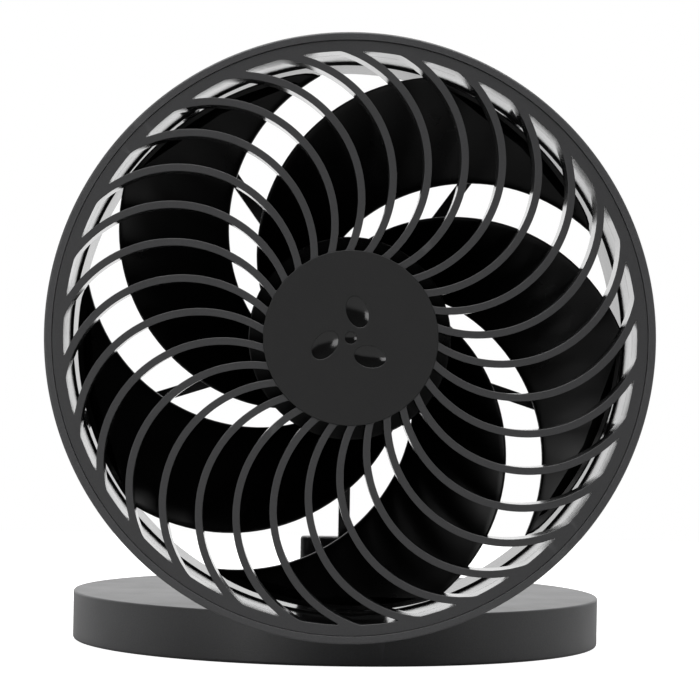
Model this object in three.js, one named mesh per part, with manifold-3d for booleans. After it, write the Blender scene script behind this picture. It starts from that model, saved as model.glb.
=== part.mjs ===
// Portable desk fan: a round fan head on a friction hinge that folds back flat onto a disc-shaped
// battery base. Millimetres, +Z up, the front faces -Y. The origin is the centre of the rubber pad's
// underside, where the fan stands. Head pieces are drawn in a group whose y is the depth behind the
// front face and whose origin lies on the fan's axis.
import * as THREE from 'three';
import { mergeVertices } from 'three/addons/utils/BufferGeometryUtils.js';
import Module from 'manifold-3d';

const wasm = await Module();
wasm.setup();

// ---------------------------------------------------------------- driving dimensions

const GAP = 0.3;
const RIM_SIDES = 48;
const HUB_SIDES = 32;
const SMALL_SIDES = 16;
const SCREW_SIDES = 12;

const BASE_R = 74.5;
const BASE_TOP = 13.9;
const BASE_WALL = 2;
const COVER_BOTTOM = 0.2;
const PAD_THICKNESS = 0.8;
const PLATE_BOTTOM = 1.1;
const PLATE_TOP = 3.5;

const HEAD_R = 75;
const HEAD_DEPTH = 42.5;
const HEAD_AXIS_Z = 85.2;
const HEAD_FRONT_Y = -117.8;
const HEAD_REAR_Y = HEAD_FRONT_Y + HEAD_DEPTH;
const RING_WALL = 1.75;
const GRILLE_R = 73;
const DUCT_R = 70.3;
const SKIRT_R = 69.7;
const SKIRT_DEPTH = 27.5;

const RIB_COUNT = 30;
const RIB_WIDTH = 1.8;
const RIB_DEPTH = 10;
const RIB_FRONT = 0.2;
const RIB_ARC_R = 30;
const RIB_CENTRE_R = 43.9;
const RIB_CENTRE_DEG = -39.5;
const BADGE_R = 21.5;

const BLADE_COUNT = 5;
const BLADE_ROOT_R = 28;
const BLADE_TIP_R = 68.2;
const BLADE_FRONT = 13.2;
const BLADE_REAR = 26;
const HUB_R = 25.3;
const HUB_FRONT = 11.5;
const HUB_REAR = 31;
const SHAFT_R = 1.5;

const STRUT_COUNT = 5;
const STRUT_WIDTH = 2.9;
const STRUT_FRONT = 35;
const CUP_R = 24.6;
const TUBE_R = 6.3;
const BEARING_R = 4;

const HINGE_Y = -68;
const HINGE_Z = 10;
const PIN_R = 1.75;
const KNUCKLE_R = 4;
const NECK_HALF_WIDTH = 11;
const NECK_TOP = 33.9;
const NECK_FRONT_Y = HEAD_REAR_Y + GAP;
const NECK_REAR_Y = -69.3;
const POCKET_HALF_WIDTH = 11.6;
const POCKET_FLOOR = 11;
const POCKET_END_Y = -43.7;
const LEAD_R = 0.7;

// ---------------------------------------------------------------- shape helpers

// Shares the vertices of a closed mesh and drops the triangles that collapse on an axis.
function weld(geometry) {
  const bare = geometry.clone();
  bare.deleteAttribute('normal');
  bare.deleteAttribute('uv');
  const merged = mergeVertices(bare, 1e-4);
  const index = merged.getIndex().array;
  const kept = [];
  for (let i = 0; i < index.length; i += 3) {
    const [a, b, c] = index.slice(i, i + 3);
    if (a !== b && b !== c && c !== a) {
      kept.push(a, b, c);
    }
  }
  merged.setIndex(kept);
  return merged;
}

function toSolid(shape) {
  if (shape instanceof wasm.Manifold) {
    return shape;
  }
  const welded = weld(shape);
  const vertProperties = new Float32Array(welded.getAttribute('position').array);
  const triVerts = new Uint32Array(welded.getIndex().array);
  return new wasm.Manifold(new wasm.Mesh({ numProp: 3, vertProperties, triVerts }));
}

function toGeometry(solid) {
  const { vertProperties, triVerts } = solid.getMesh();
  const geometry = new THREE.BufferGeometry();
  geometry.setAttribute('position', new THREE.BufferAttribute(vertProperties, 3));
  geometry.setIndex(new THREE.BufferAttribute(triVerts, 1));
  return geometry;
}

function join(...shapes) {
  return shapes.map(toSolid).reduce((whole, next) => whole.add(next));
}

function cut(body, ...tools) {
  return tools.map(toSolid).reduce((rest, tool) => rest.subtract(tool), toSolid(body));
}

// A body turned about Y from [radius, height] points that run outwards, up and back in.
function turnedY(profile, sides) {
  return new THREE.LatheGeometry(profile.map(([r, h]) => new THREE.Vector2(r, h)), sides);
}

// The same body turned about Z.
function turnedZ(profile, sides) {
  return turnedY(profile, sides).rotateX(Math.PI / 2);
}

function ringProfile(inner, outer, low, high) {
  return [[inner, low], [outer, low], [outer, high], [inner, high], [inner, low]];
}

function discProfile(radius, low, high) {
  return [[0, low], [radius, low], [radius, high], [0, high]];
}

function box([x0, x1], [y0, y1], [z0, z1]) {
  const geometry = new THREE.BoxGeometry(x1 - x0, y1 - y0, z1 - z0);
  return geometry.translate((x0 + x1) / 2, (y0 + y1) / 2, (z0 + z1) / 2);
}

function rodX(radius, [x0, x1], y, z, sides = SMALL_SIDES) {
  const rod = new THREE.CylinderGeometry(radius, radius, x1 - x0, sides).rotateZ(Math.PI / 2);
  return rod.translate((x0 + x1) / 2, y, z);
}

function rodY(radius, [y0, y1], x, z, sides = SMALL_SIDES) {
  const rod = new THREE.CylinderGeometry(radius, radius, y1 - y0, sides);
  return rod.translate(x, (y0 + y1) / 2, z);
}

function rodZ(radius, [z0, z1], x, y, sides = SMALL_SIDES) {
  const rod = new THREE.CylinderGeometry(radius, radius, z1 - z0, sides).rotateX(Math.PI / 2);
  return rod.translate(x, y, (z0 + z1) / 2);
}

// An outline in the plane of x and height, thickened along y from y0 to y1.
function plateY(shape, [y0, y1], curveSegments = 4) {
  const settings = { depth: y1 - y0, bevelEnabled: false, curveSegments };
  return new THREE.ExtrudeGeometry(shape, settings).translate(0, 0, -y1).rotateX(Math.PI / 2);
}

// An outline in the plane of x and y, thickened upwards from z0 to z1.
function plateZ(shape, [z0, z1], curveSegments = 4) {
  const settings = { depth: z1 - z0, bevelEnabled: false, curveSegments };
  return new THREE.ExtrudeGeometry(shape, settings).translate(0, 0, z0);
}

function roundedOutline([x0, x1], [y0, y1], r) {
  const shape = new THREE.Shape();
  shape.moveTo(x0 + r, y0);
  shape.absarc(x1 - r, y0 + r, r, -Math.PI / 2, 0);
  shape.absarc(x1 - r, y1 - r, r, 0, Math.PI / 2);
  shape.absarc(x0 + r, y1 - r, r, Math.PI / 2, Math.PI);
  shape.absarc(x0 + r, y0 + r, r, Math.PI, Math.PI * 1.5);
  return shape;
}

// A point at a radius and an angle clockwise from straight up, as seen from the front.
function polar(radius, degrees) {
  const angle = THREE.MathUtils.degToRad(degrees);
  return new THREE.Vector2(radius * Math.sin(angle), radius * Math.cos(angle));
}

// A lead: a round section carried along a smooth line through its points.
function lead(points, steps) {
  const knots = points.map((point) => new THREE.Vector3(...point));
  const path = new THREE.CatmullRomCurve3(knots, false, 'centripetal');
  const section = new THREE.Shape().absarc(0, 0, LEAD_R, 0, Math.PI * 2);
  return new THREE.ExtrudeGeometry(section, { steps, extrudePath: path, curveSegments: 4 });
}

function piece(parent, name, shape, material) {
  const geometry = shape instanceof wasm.Manifold ? toGeometry(shape) : weld(shape);
  geometry.computeVertexNormals();
  const mesh = new THREE.Mesh(geometry, material);
  mesh.name = name;
  parent.add(mesh);
}

function material(color, roughness, metalness = 0) {
  return new THREE.MeshStandardMaterial({ color, roughness, metalness });
}

const greyPlastic = material(0x3b3c3e, 0.55);
const blackPlastic = material(0x111214, 0.35);
const liftedGrey = material(0x45474a, 0.3);
const rubber = material(0x1b1c1d, 0.9);
const steel = material(0x9a9ca0, 0.35, 1);
const brass = material(0xb08d4a, 0.35, 1);
const magnetBlack = material(0x2a2a2c, 0.6, 0.3);
const copper = material(0xb4622d, 0.4, 1);
const boardGreen = material(0x1f4a33, 0.5);
const componentBlack = material(0x161616, 0.5);
const pouchSilver = material(0xa9adb2, 0.4, 0.6);
const clearPlastic = material(0xd8dcdf, 0.15);
const leadBlack = material(0x18181a, 0.6);

const fan = new THREE.Group();
const base = new THREE.Group();
const head = new THREE.Group();
const impeller = new THREE.Group();
head.position.set(0, HEAD_FRONT_Y, HEAD_AXIS_Z);
head.add(impeller);
fan.add(base, head);

// ---------------------------------------------------------------- head shell

// The outer band: a plain ring with a softened front and rear edge.
const BAND_EDGE = 0.7;
const bandInner = HEAD_R - RING_WALL;
const bandProfile = [
  [bandInner, 0.3],
  [bandInner + 0.3, 0],
  [HEAD_R - BAND_EDGE, 0],
  [HEAD_R, BAND_EDGE],
  [HEAD_R, HEAD_DEPTH - BAND_EDGE],
  [HEAD_R - BAND_EDGE, HEAD_DEPTH],
  [bandInner, HEAD_DEPTH],
  [bandInner, 0.3],
];
piece(head, 'outer_ring', turnedY(bandProfile, RIM_SIDES), greyPlastic);

// The front grille: a rim, a badge disc and ribs that are arcs of one circle. The arc's centre lies at
// RIB_CENTRE_R from the axis, and each rib's centre is turned on by one pitch.
const RIB_STEPS = 6;
const ribPitch = 360 / RIB_COUNT;

function ribPoint(centreDegrees, arcRadius, radius) {
  const opposite = radius ** 2 + RIB_CENTRE_R ** 2 - arcRadius ** 2;
  const swing = THREE.MathUtils.radToDeg(Math.acos(opposite / (2 * radius * RIB_CENTRE_R)));
  return polar(radius, centreDegrees + swing);
}

function slotOutline(index) {
  const here = RIB_CENTRE_DEG + index * ribPitch;
  const points = [];
  for (let i = 0; i <= RIB_STEPS; i += 1) {
    const radius = THREE.MathUtils.lerp(BADGE_R, DUCT_R, i / RIB_STEPS);
    points.push(ribPoint(here, RIB_ARC_R + RIB_WIDTH / 2, radius));
  }
  const next = [];
  for (let i = RIB_STEPS; i >= 0; i -= 1) {
    const radius = THREE.MathUtils.lerp(BADGE_R, DUCT_R, i / RIB_STEPS);
    next.push(ribPoint(here + ribPitch, RIB_ARC_R - RIB_WIDTH / 2, radius));
  }
  const outerMiddle = points.at(-1).clone().add(next[0]).setLength(DUCT_R);
  return new THREE.Path([...points, outerMiddle, ...next]);
}

const grilleOutline = new THREE.Shape().absarc(0, 0, GRILLE_R, 0, Math.PI * 2);
for (let i = 0; i < RIB_COUNT; i += 1) {
  grilleOutline.holes.push(slotOutline(i));
}
const grilleRear = RIB_FRONT + RIB_DEPTH;
const badgeHollow = turnedY(discProfile(BADGE_R - 2, RIB_FRONT + 2.2, grilleRear + 1), RIM_SIDES);

// The badge carries a generic three-bladed fan sign, pressed into its face.
const SIGN_DEPTH = 0.5;
const SIGN_PETALS = 3;
const signTools = [];
for (let i = 0; i < SIGN_PETALS; i += 1) {
  const petal = new THREE.Shape().absellipse(1.3, 5.6, 2.3, 3.4, 0, Math.PI * 2, false, -0.35);
  const tool = plateY(petal, [-1, RIB_FRONT + SIGN_DEPTH], 14);
  signTools.push(tool.rotateY((i * 2 * Math.PI) / SIGN_PETALS));
}
signTools.push(rodY(1.5, [-1, RIB_FRONT + SIGN_DEPTH], 0, 0, SCREW_SIDES));
const grillePlate = plateY(grilleOutline, [RIB_FRONT, grilleRear], RIM_SIDES);
piece(head, 'front_grille', cut(grillePlate, badgeHollow, ...signTools), greyPlastic);

// The smooth inner wall of the duct, between the grille and the rear frame.
const linerProfile = ringProfile(DUCT_R, DUCT_R + 1.9, grilleRear + GAP, SKIRT_DEPTH - GAP);
piece(head, 'duct_liner', turnedY(linerProfile, RIM_SIDES), liftedGrey);

// The rear frame: a channelled skirt, five radial struts and the motor cup with its bearing tube.
const FLANGE_R = 72.9;
const FLANGE = 2;
const SKIRT_WALL = 1.6;
const skirtProfile = [
  [SKIRT_R, SKIRT_DEPTH],
  [FLANGE_R, SKIRT_DEPTH],
  [FLANGE_R, SKIRT_DEPTH + FLANGE],
  [SKIRT_R + SKIRT_WALL, SKIRT_DEPTH + FLANGE],
  [SKIRT_R + SKIRT_WALL, HEAD_DEPTH - FLANGE],
  [FLANGE_R, HEAD_DEPTH - FLANGE],
  [FLANGE_R, HEAD_DEPTH],
  [SKIRT_R - 0.8, HEAD_DEPTH],
  [SKIRT_R, SKIRT_DEPTH],
];
const TUBE_FRONT = 19.7;
const CUP_FRONT = 33;
const CUP_WALL = 1.6;
const cupFloor = HEAD_DEPTH - 1.5;
const cupProfile = [
  [0, cupFloor],
  [BEARING_R + GAP, cupFloor],
  [BEARING_R + GAP, TUBE_FRONT],
  [TUBE_R, TUBE_FRONT],
  [TUBE_R, cupFloor],
  [CUP_R - CUP_WALL, cupFloor],
  [CUP_R - CUP_WALL, CUP_FRONT],
  [CUP_R, CUP_FRONT],
  [CUP_R, HEAD_DEPTH],
  [0, HEAD_DEPTH],
];
const strutSpan = [CUP_R - 0.8, SKIRT_R + 1];
const frameParts = [turnedY(skirtProfile, RIM_SIDES), turnedY(cupProfile, HUB_SIDES)];
for (let i = 0; i < STRUT_COUNT; i += 1) {
  const strut = box([-STRUT_WIDTH / 2, STRUT_WIDTH / 2], [STRUT_FRONT, HEAD_DEPTH - 0.5], strutSpan);
  frameParts.push(strut.rotateY(Math.PI + (i * 2 * Math.PI) / STRUT_COUNT));
}

// Two bosses in the skirt take the neck screws, and three posts carry the motor board.
const NECK_SCREW_X = 7.5;
const NECK_SCREW_CIRCLE_R = 70.9;
const neckScrewZ = -Math.sqrt(NECK_SCREW_CIRCLE_R ** 2 - NECK_SCREW_X ** 2);
const neckScrewTools = [];
for (const x of [-NECK_SCREW_X, NECK_SCREW_X]) {
  frameParts.push(rodY(2, [SKIRT_DEPTH + 6, HEAD_DEPTH], x, neckScrewZ));
  neckScrewTools.push(rodY(1.3, [SKIRT_DEPTH + 7, HEAD_DEPTH + 1], x, neckScrewZ, SCREW_SIDES));
}
const BOARD_DEPTH = 34;
const BOARD_THICKNESS = 1.2;
const BOARD_R = 21.5;
const POST_CIRCLE_R = 17;
const POST_R = 1.3;
for (const degrees of [60, 180 + 50, 180 - 50]) {
  const post = polar(POST_CIRCLE_R, degrees);
  const postSpan = [BOARD_DEPTH + BOARD_THICKNESS + GAP, cupFloor + 0.5];
  frameParts.push(rodY(POST_R, postSpan, post.x, post.y));
}
const leadChannel = box([-1.05, 1.05], [HEAD_DEPTH - 2.5, HEAD_DEPTH + 1], [-80, -CUP_R + 7]);
const rearFrame = cut(join(...frameParts), ...neckScrewTools, leadChannel);
piece(head, 'rear_frame', rearFrame, greyPlastic);

// ---------------------------------------------------------------- motor

const BEARING_LENGTH = 4;
for (const [name, front] of [['bearing_front', 20], ['bearing_rear', 34.5]]) {
  const bearing = ringProfile(SHAFT_R + GAP, BEARING_R, front, front + BEARING_LENGTH);
  piece(head, name, turnedY(bearing, SMALL_SIDES), steel);
}

// Laminated stator with four poles, each with a wide shoe.
const POLE_COUNT = 4;
const CORE = [20.5, 28.5];
const CORE_R = 19.2;
const POLE_HALF_WIDTH = 3;
const POLE_ROOT_R = 9;
const SHOE_INNER_R = 16.8;
const SHOE_HALF_DEG = 38;
const coreShape = new THREE.Shape();
const corePoints = [];
for (let i = 0; i < POLE_COUNT; i += 1) {
  const mid = (i * 360) / POLE_COUNT;
  const shoe = [-1, -0.5, 0, 0.5, 1].map((part) => polar(CORE_R, mid + part * SHOE_HALF_DEG));
  const rootDeg = THREE.MathUtils.radToDeg(Math.asin(POLE_HALF_WIDTH / POLE_ROOT_R));
  const neckDeg = THREE.MathUtils.radToDeg(Math.asin(POLE_HALF_WIDTH / SHOE_INNER_R));
  corePoints.push(polar(POLE_ROOT_R, mid - rootDeg), polar(SHOE_INNER_R, mid - neckDeg));
  corePoints.push(polar(SHOE_INNER_R, mid - SHOE_HALF_DEG), ...shoe);
  corePoints.push(polar(SHOE_INNER_R, mid + SHOE_HALF_DEG), polar(SHOE_INNER_R, mid + neckDeg));
  corePoints.push(polar(POLE_ROOT_R, mid + rootDeg));
}
coreShape.setFromPoints(corePoints);
coreShape.holes.push(new THREE.Path().absarc(0, 0, TUBE_R + GAP, 0, Math.PI * 2));
piece(head, 'stator_core', plateY(coreShape, CORE, SMALL_SIDES), steel);

// One coil around each pole, between the core's centre and the shoe.
const COIL_BUILD = 2.6;
const COIL_SPAN = [9.6, 14.9];
const coilHalfWidth = POLE_HALF_WIDTH + GAP;
for (let i = 0; i < POLE_COUNT; i += 1) {
  const wide = [-coilHalfWidth - COIL_BUILD, coilHalfWidth + COIL_BUILD];
  const deep = [CORE[0] - GAP - COIL_BUILD, CORE[1] + GAP + COIL_BUILD];
  const windingOutline = roundedOutline(wide, deep, 1.5);
  const hole = new THREE.Path([
    new THREE.Vector2(-coilHalfWidth, CORE[0] - GAP),
    new THREE.Vector2(coilHalfWidth, CORE[0] - GAP),
    new THREE.Vector2(coilHalfWidth, CORE[1] + GAP),
    new THREE.Vector2(-coilHalfWidth, CORE[1] + GAP),
  ]);
  windingOutline.holes.push(hole);
  const coil = plateZ(windingOutline, COIL_SPAN, 3);
  piece(head, `stator_coil_${i + 1}`, coil.rotateY((i * 2 * Math.PI) / POLE_COUNT), copper);
}

const boardRear = BOARD_DEPTH + BOARD_THICKNESS;
const motorBoardProfile = ringProfile(TUBE_R + GAP, BOARD_R, BOARD_DEPTH, boardRear);
piece(head, 'motor_board', turnedY(motorBoardProfile, HUB_SIDES), boardGreen);

// ---------------------------------------------------------------- impeller and rotor

// Sickle blades: both edges sweep clockwise outwards, and the leading edge lies deeper in the duct.
// Each edge's angle in degrees is a cubic in the share of the blade's span, given by its coefficients.
const BLADE_SPAN = 39.6;
const TRAILING_EDGE = [-55.9, 90.4, -53.6, 33.6];
const LEADING_EDGE = [1, 79.9, -43.5, 28.6];
const BLADE_AXIAL_THICKNESS = 1.9;
const BLADE_CAMBER = 0.8;
const TIP_CORNER_START = 0.8;
const TIP_CORNER_DROP = 1.8;
const BLADE_ROWS = 6;
const BLADE_COLUMNS = 5;

function cubic([c0, c1, c2, c3], s) {
  return c0 + c1 * s + c2 * s ** 2 + c3 * s ** 3;
}

function bladeAngle(radius, across) {
  const s = (radius - BLADE_ROOT_R) / BLADE_SPAN;
  return THREE.MathUtils.lerp(cubic(TRAILING_EDGE, s), cubic(LEADING_EDGE, s), across);
}

function bladePoint(out, across, side) {
  const corner = Math.max(0, across - TIP_CORNER_START) / (1 - TIP_CORNER_START);
  const tip = BLADE_TIP_R - TIP_CORNER_DROP * corner ** 2;
  const radius = THREE.MathUtils.lerp(HUB_R - 1, tip, out);
  const { x, y } = polar(radius, bladeAngle(radius, across));
  const camber = BLADE_CAMBER * Math.sin(Math.PI * across);
  const depth = THREE.MathUtils.lerp(BLADE_FRONT, BLADE_REAR, across) + camber;
  return [x, depth + (side * BLADE_AXIAL_THICKNESS) / 2, y];
}

// The two faces are grids of points, and a strip of quads around their rim closes the blade.
function bladeGeometry() {
  const vertices = [];
  const rowLength = BLADE_COLUMNS + 1;
  const sheet = (BLADE_ROWS + 1) * rowLength;
  for (const side of [-1, 1]) {
    for (let i = 0; i <= BLADE_ROWS; i += 1) {
      for (let j = 0; j <= BLADE_COLUMNS; j += 1) {
        vertices.push(...bladePoint(i / BLADE_ROWS, j / BLADE_COLUMNS, side));
      }
    }
  }
  const triangles = [];
  const quad = (a, b, c, d) => triangles.push(a, c, b, a, d, c);
  for (let i = 0; i < BLADE_ROWS; i += 1) {
    for (let j = 0; j < BLADE_COLUMNS; j += 1) {
      const a = i * rowLength + j;
      quad(a, a + rowLength, a + rowLength + 1, a + 1);
      quad(sheet + a, sheet + a + 1, sheet + a + rowLength + 1, sheet + a + rowLength);
    }
  }
  const lastRow = BLADE_ROWS * rowLength;
  const rim = [];
  for (let j = 0; j < BLADE_COLUMNS; j += 1) {
    rim.push(j);
  }
  for (let i = 0; i < BLADE_ROWS; i += 1) {
    rim.push(i * rowLength + BLADE_COLUMNS);
  }
  for (let j = BLADE_COLUMNS; j > 0; j -= 1) {
    rim.push(lastRow + j);
  }
  for (let i = BLADE_ROWS; i > 0; i -= 1) {
    rim.push(i * rowLength);
  }
  rim.forEach((a, k) => {
    const b = rim[(k + 1) % rim.length];
    quad(a, b, b + sheet, a + sheet);
  });
  const geometry = new THREE.BufferGeometry();
  geometry.setAttribute('position', new THREE.Float32BufferAttribute(vertices, 3));
  geometry.setIndex(triangles);
  return geometry;
}

// The hub is a cap over the rotor, with a boss that holds the shaft bush.
const HUB_WALL = 1.7;
const HUB_EDGE = 0.6;
const BUSH_SEAT_R = 4.3;
const BOSS_R = 6;
const BOSS_REAR = 19;
const hubFloor = HUB_FRONT + 2.2;
const hubProfile = [
  [0, HUB_FRONT],
  [HUB_R - HUB_EDGE, HUB_FRONT],
  [HUB_R, HUB_FRONT + HUB_EDGE],
  [HUB_R, HUB_REAR],
  [HUB_R - HUB_WALL, HUB_REAR],
  [HUB_R - HUB_WALL, hubFloor],
  [BOSS_R, hubFloor],
  [BOSS_R, BOSS_REAR],
  [BUSH_SEAT_R, BOSS_REAR],
  [BUSH_SEAT_R, hubFloor],
  [0, hubFloor],
];
const impellerParts = [turnedY(hubProfile, HUB_SIDES)];
for (let i = 0; i < BLADE_COUNT; i += 1) {
  impellerParts.push(bladeGeometry().rotateY((-i * 2 * Math.PI) / BLADE_COUNT));
}
piece(impeller, 'impeller', join(...impellerParts), blackPlastic);

const YOKE_R = HUB_R - HUB_WALL - GAP;
const YOKE_WALL = 1.1;
const YOKE_FRONT = hubFloor + GAP;
const YOKE_REAR = HUB_REAR - 0.5;
const yokeProfile = [
  [BOSS_R + 0.4, YOKE_FRONT],
  [YOKE_R, YOKE_FRONT],
  [YOKE_R, YOKE_REAR],
  [YOKE_R - YOKE_WALL, YOKE_REAR],
  [YOKE_R - YOKE_WALL, YOKE_FRONT + 1.2],
  [BOSS_R + 0.4, YOKE_FRONT + 1.2],
  [BOSS_R + 0.4, YOKE_FRONT],
];
piece(impeller, 'rotor_yoke', turnedY(yokeProfile, HUB_SIDES), steel);

const AIR_GAP = 0.7;
const MAGNET = [16, 30];
const magnetProfile = ringProfile(CORE_R + AIR_GAP, YOKE_R - YOKE_WALL - GAP, ...MAGNET);
piece(impeller, 'magnet_ring', turnedY(magnetProfile, HUB_SIDES), magnetBlack);

const SHAFT = [YOKE_FRONT, 40.5];
const BUSH_REAR = 19.4;
const CLIP_R = 3.4;
const CLIP = [39, 39.6];
const bushProfile = ringProfile(SHAFT_R + GAP, BUSH_SEAT_R - GAP, YOKE_FRONT, BUSH_REAR);
piece(impeller, 'shaft_bush', turnedY(bushProfile, SMALL_SIDES), brass);
piece(impeller, 'rotor_shaft', turnedY(discProfile(SHAFT_R, ...SHAFT), SCREW_SIDES), steel);
const clipProfile = ringProfile(SHAFT_R + GAP, CLIP_R, ...CLIP);
piece(impeller, 'retaining_clip', turnedY(clipProfile, SCREW_SIDES), steel);

// ---------------------------------------------------------------- neck and hinge

// The neck is a block behind the rear frame with a knuckle on the hinge axis. Its groove and the
// knuckle's bore carry the motor lead.
const neckOutline = roundedOutline(
  [-NECK_HALF_WIDTH, NECK_HALF_WIDTH],
  [NECK_FRONT_Y, NECK_REAR_Y],
  2.2,
);
const NECK_BOTTOM = 9;
const KNUCKLE_HALF_WIDTH = 10.4;
const neckBody = join(
  plateZ(neckOutline, [NECK_BOTTOM, NECK_TOP]),
  rodX(KNUCKLE_R, [-KNUCKLE_HALF_WIDTH, KNUCKLE_HALF_WIDTH], HINGE_Y, HINGE_Z),
);
const neckScrewHeight = HEAD_AXIS_Z + neckScrewZ;
const SCREW_SEAT_Y = -71;
const neckTools = [
  rodX(PIN_R + GAP, [-12, 12], HINGE_Y, HINGE_Z),
  rodX(KNUCKLE_R + 0.4, [KNUCKLE_HALF_WIDTH, 12], HINGE_Y, HINGE_Z),
  rodX(KNUCKLE_R + 0.4, [-12, -KNUCKLE_HALF_WIDTH], HINGE_Y, HINGE_Z),
  box([-1.3, 1.3], [NECK_FRONT_Y - 1, NECK_FRONT_Y + 2.8], [HINGE_Z - 0.9, NECK_TOP + 1]),
  box([-1.3, 1.3], [NECK_FRONT_Y - 1, HINGE_Y], [HINGE_Z - 0.9, HINGE_Z + 4]),
];
for (const x of [-NECK_SCREW_X, NECK_SCREW_X]) {
  neckTools.push(rodY(1.3, [-80, -60], x, neckScrewHeight, SCREW_SIDES));
  neckTools.push(rodY(2, [SCREW_SEAT_Y, -60], x, neckScrewHeight, SCREW_SIDES));
}
const neckGroup = new THREE.Group();
fan.add(neckGroup);
piece(neckGroup, 'neck_block', cut(neckBody, ...neckTools), greyPlastic);

// A screw along +Y or +Z: a pan head and a plain shank.
function screwProfile(headRadius, shankRadius, headHeight, length) {
  return [
    [0, 0],
    [headRadius, 0],
    [headRadius, headHeight],
    [shankRadius, headHeight],
    [shankRadius, length],
    [0, length],
  ];
}
const neckScrew = screwProfile(1.7, 1, 1.3, 9);
for (const [side, x] of [['left', -NECK_SCREW_X], ['right', NECK_SCREW_X]]) {
  const screw = turnedY(neckScrew, SCREW_SIDES).rotateX(Math.PI);
  const seated = screw.translate(x, SCREW_SEAT_Y + 1.4, neckScrewHeight);
  piece(neckGroup, `neck_screw_${side}`, seated, steel);
}

const EAR_END = 17.8;
const TUBE_START = 4;
const pinSpan = [-EAR_END + 0.3, -2.2];
piece(base, 'hinge_pin', rodX(PIN_R, pinSpan, HINGE_Y, HINGE_Z, SCREW_SIDES), steel);
const tubeProfile = ringProfile(LEAD_R + 0.4, PIN_R, TUBE_START, EAR_END - 0.3);
const hingeTube = turnedY(tubeProfile, SCREW_SIDES).rotateZ(-Math.PI / 2);
piece(base, 'hinge_tube', hingeTube.translate(0, HINGE_Y, HINGE_Z), steel);
const washerProfile = ringProfile(PIN_R + GAP, KNUCKLE_R - 0.1, KNUCKLE_HALF_WIDTH + 0.25, 11.35);
for (const [name, turn] of [['friction_washer_right', -1], ['friction_washer_left', 1]]) {
  const washer = turnedY(washerProfile, SMALL_SIDES).rotateZ((turn * Math.PI) / 2);
  piece(base, name, washer.translate(0, HINGE_Y, HINGE_Z), steel);
}

// ---------------------------------------------------------------- base shell

const SCREW_POSITIONS = [[42, 42], [-42, 42], [-42, -42], [42, -42]];
const BOARD_TOP = 6.9;
const SOCKET_Z = 8.8;
const BUTTON_X = 18;
const LIGHT_X = 9;
const BUTTON_R = 2.4;
const BUTTON_FLANGE_R = 3;
const BUTTON_FLANGE = [67.2, 68.3];
const BOARD_SCREWS = [[-10, 47.5], [20, 47.5]];

const coverInner = BASE_R - BASE_WALL - GAP;
const ceiling = BASE_TOP - BASE_WALL;
const coverProfile = [
  [0, ceiling],
  [coverInner, ceiling],
  [coverInner, COVER_BOTTOM],
  [BASE_R - 0.9, COVER_BOTTOM],
  [BASE_R - 0.3, COVER_BOTTOM + 0.3],
  [BASE_R, COVER_BOTTOM + 0.9],
  [BASE_R, BASE_TOP - 0.5],
  [BASE_R - 0.5, BASE_TOP],
  [0, BASE_TOP],
];
const envelope = toSolid(turnedZ(discProfile(BASE_R, COVER_BOTTOM, BASE_TOP), RIM_SIDES));
const WALL = 1.6;
const tubHalf = POCKET_HALF_WIDTH + WALL;
const tub = join(
  box([-tubHalf, tubHalf], [-BASE_R, POCKET_END_Y + WALL], [POCKET_FLOOR - WALL, BASE_TOP]),
  box([-tubHalf, tubHalf], [-BASE_R, HINGE_Y + 6], [4.1, BASE_TOP]),
  box([-EAR_END, EAR_END], [HINGE_Y - 4, HINGE_Y + 4], [HINGE_Z - 4, BASE_TOP]),
);
const coverParts = [turnedZ(coverProfile, RIM_SIDES), tub.intersect(envelope)];
for (const [x, y] of SCREW_POSITIONS) {
  coverParts.push(rodZ(3.2, [PLATE_TOP + GAP, ceiling + 0.5], x, y, SCREW_SIDES));
}
for (const [x, y] of BOARD_SCREWS) {
  coverParts.push(rodZ(2.2, [BOARD_TOP + GAP, ceiling + 0.5], x, y, SCREW_SIDES));
}
const pocket = [-POCKET_HALF_WIDTH, POCKET_HALF_WIDTH];
const socketHole = roundedOutline([-4.8, 4.8], [SOCKET_Z - 1.9, SOCKET_Z + 1.9], 1.85);
const coverTools = [
  box(pocket, [-80, POCKET_END_Y], [POCKET_FLOOR, 20]),
  box(pocket, [HINGE_Y - KNUCKLE_R - 0.4, HINGE_Y + KNUCKLE_R + 0.4], [5.6, 20]),
  box(pocket, [-80, HINGE_Y - KNUCKLE_R], [7.4, 20]),
  rodX(PIN_R + GAP, [-20, 20], HINGE_Y, HINGE_Z),
  plateY(socketHole, [68, 80]),
  rodY(BUTTON_R + GAP, [67, 80], BUTTON_X, SOCKET_Z),
  rodY(BUTTON_FLANGE_R + GAP, [65.6, BUTTON_FLANGE[1] + GAP], BUTTON_X, SOCKET_Z),
  rodY(1.3, [68, 80], LIGHT_X, SOCKET_Z, SCREW_SIDES),
];
for (const [x, y] of SCREW_POSITIONS) {
  coverTools.push(rodZ(1.3, [0, 10], x, y, SCREW_SIDES));
}
for (const [x, y] of BOARD_SCREWS) {
  coverTools.push(rodZ(1.1, [0, 11.5], x, y, SCREW_SIDES));
}
piece(base, 'base_cover', cut(join(...coverParts), ...coverTools), greyPlastic);

const plateR = coverInner - GAP;
const plateTools = [];
for (const [x, y] of SCREW_POSITIONS) {
  plateTools.push(rodZ(1.4, [0, 5], x, y, SCREW_SIDES));
  plateTools.push(rodZ(2.7, [0, PLATE_BOTTOM + 1.3], x, y, SCREW_SIDES));
}
const plateBody = turnedZ(discProfile(plateR, PLATE_BOTTOM, PLATE_TOP), RIM_SIDES);
piece(base, 'base_plate', cut(plateBody, ...plateTools), blackPlastic);
piece(base, 'base_pad', turnedZ(discProfile(69.5, 0, PAD_THICKNESS), RIM_SIDES), rubber);

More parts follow.
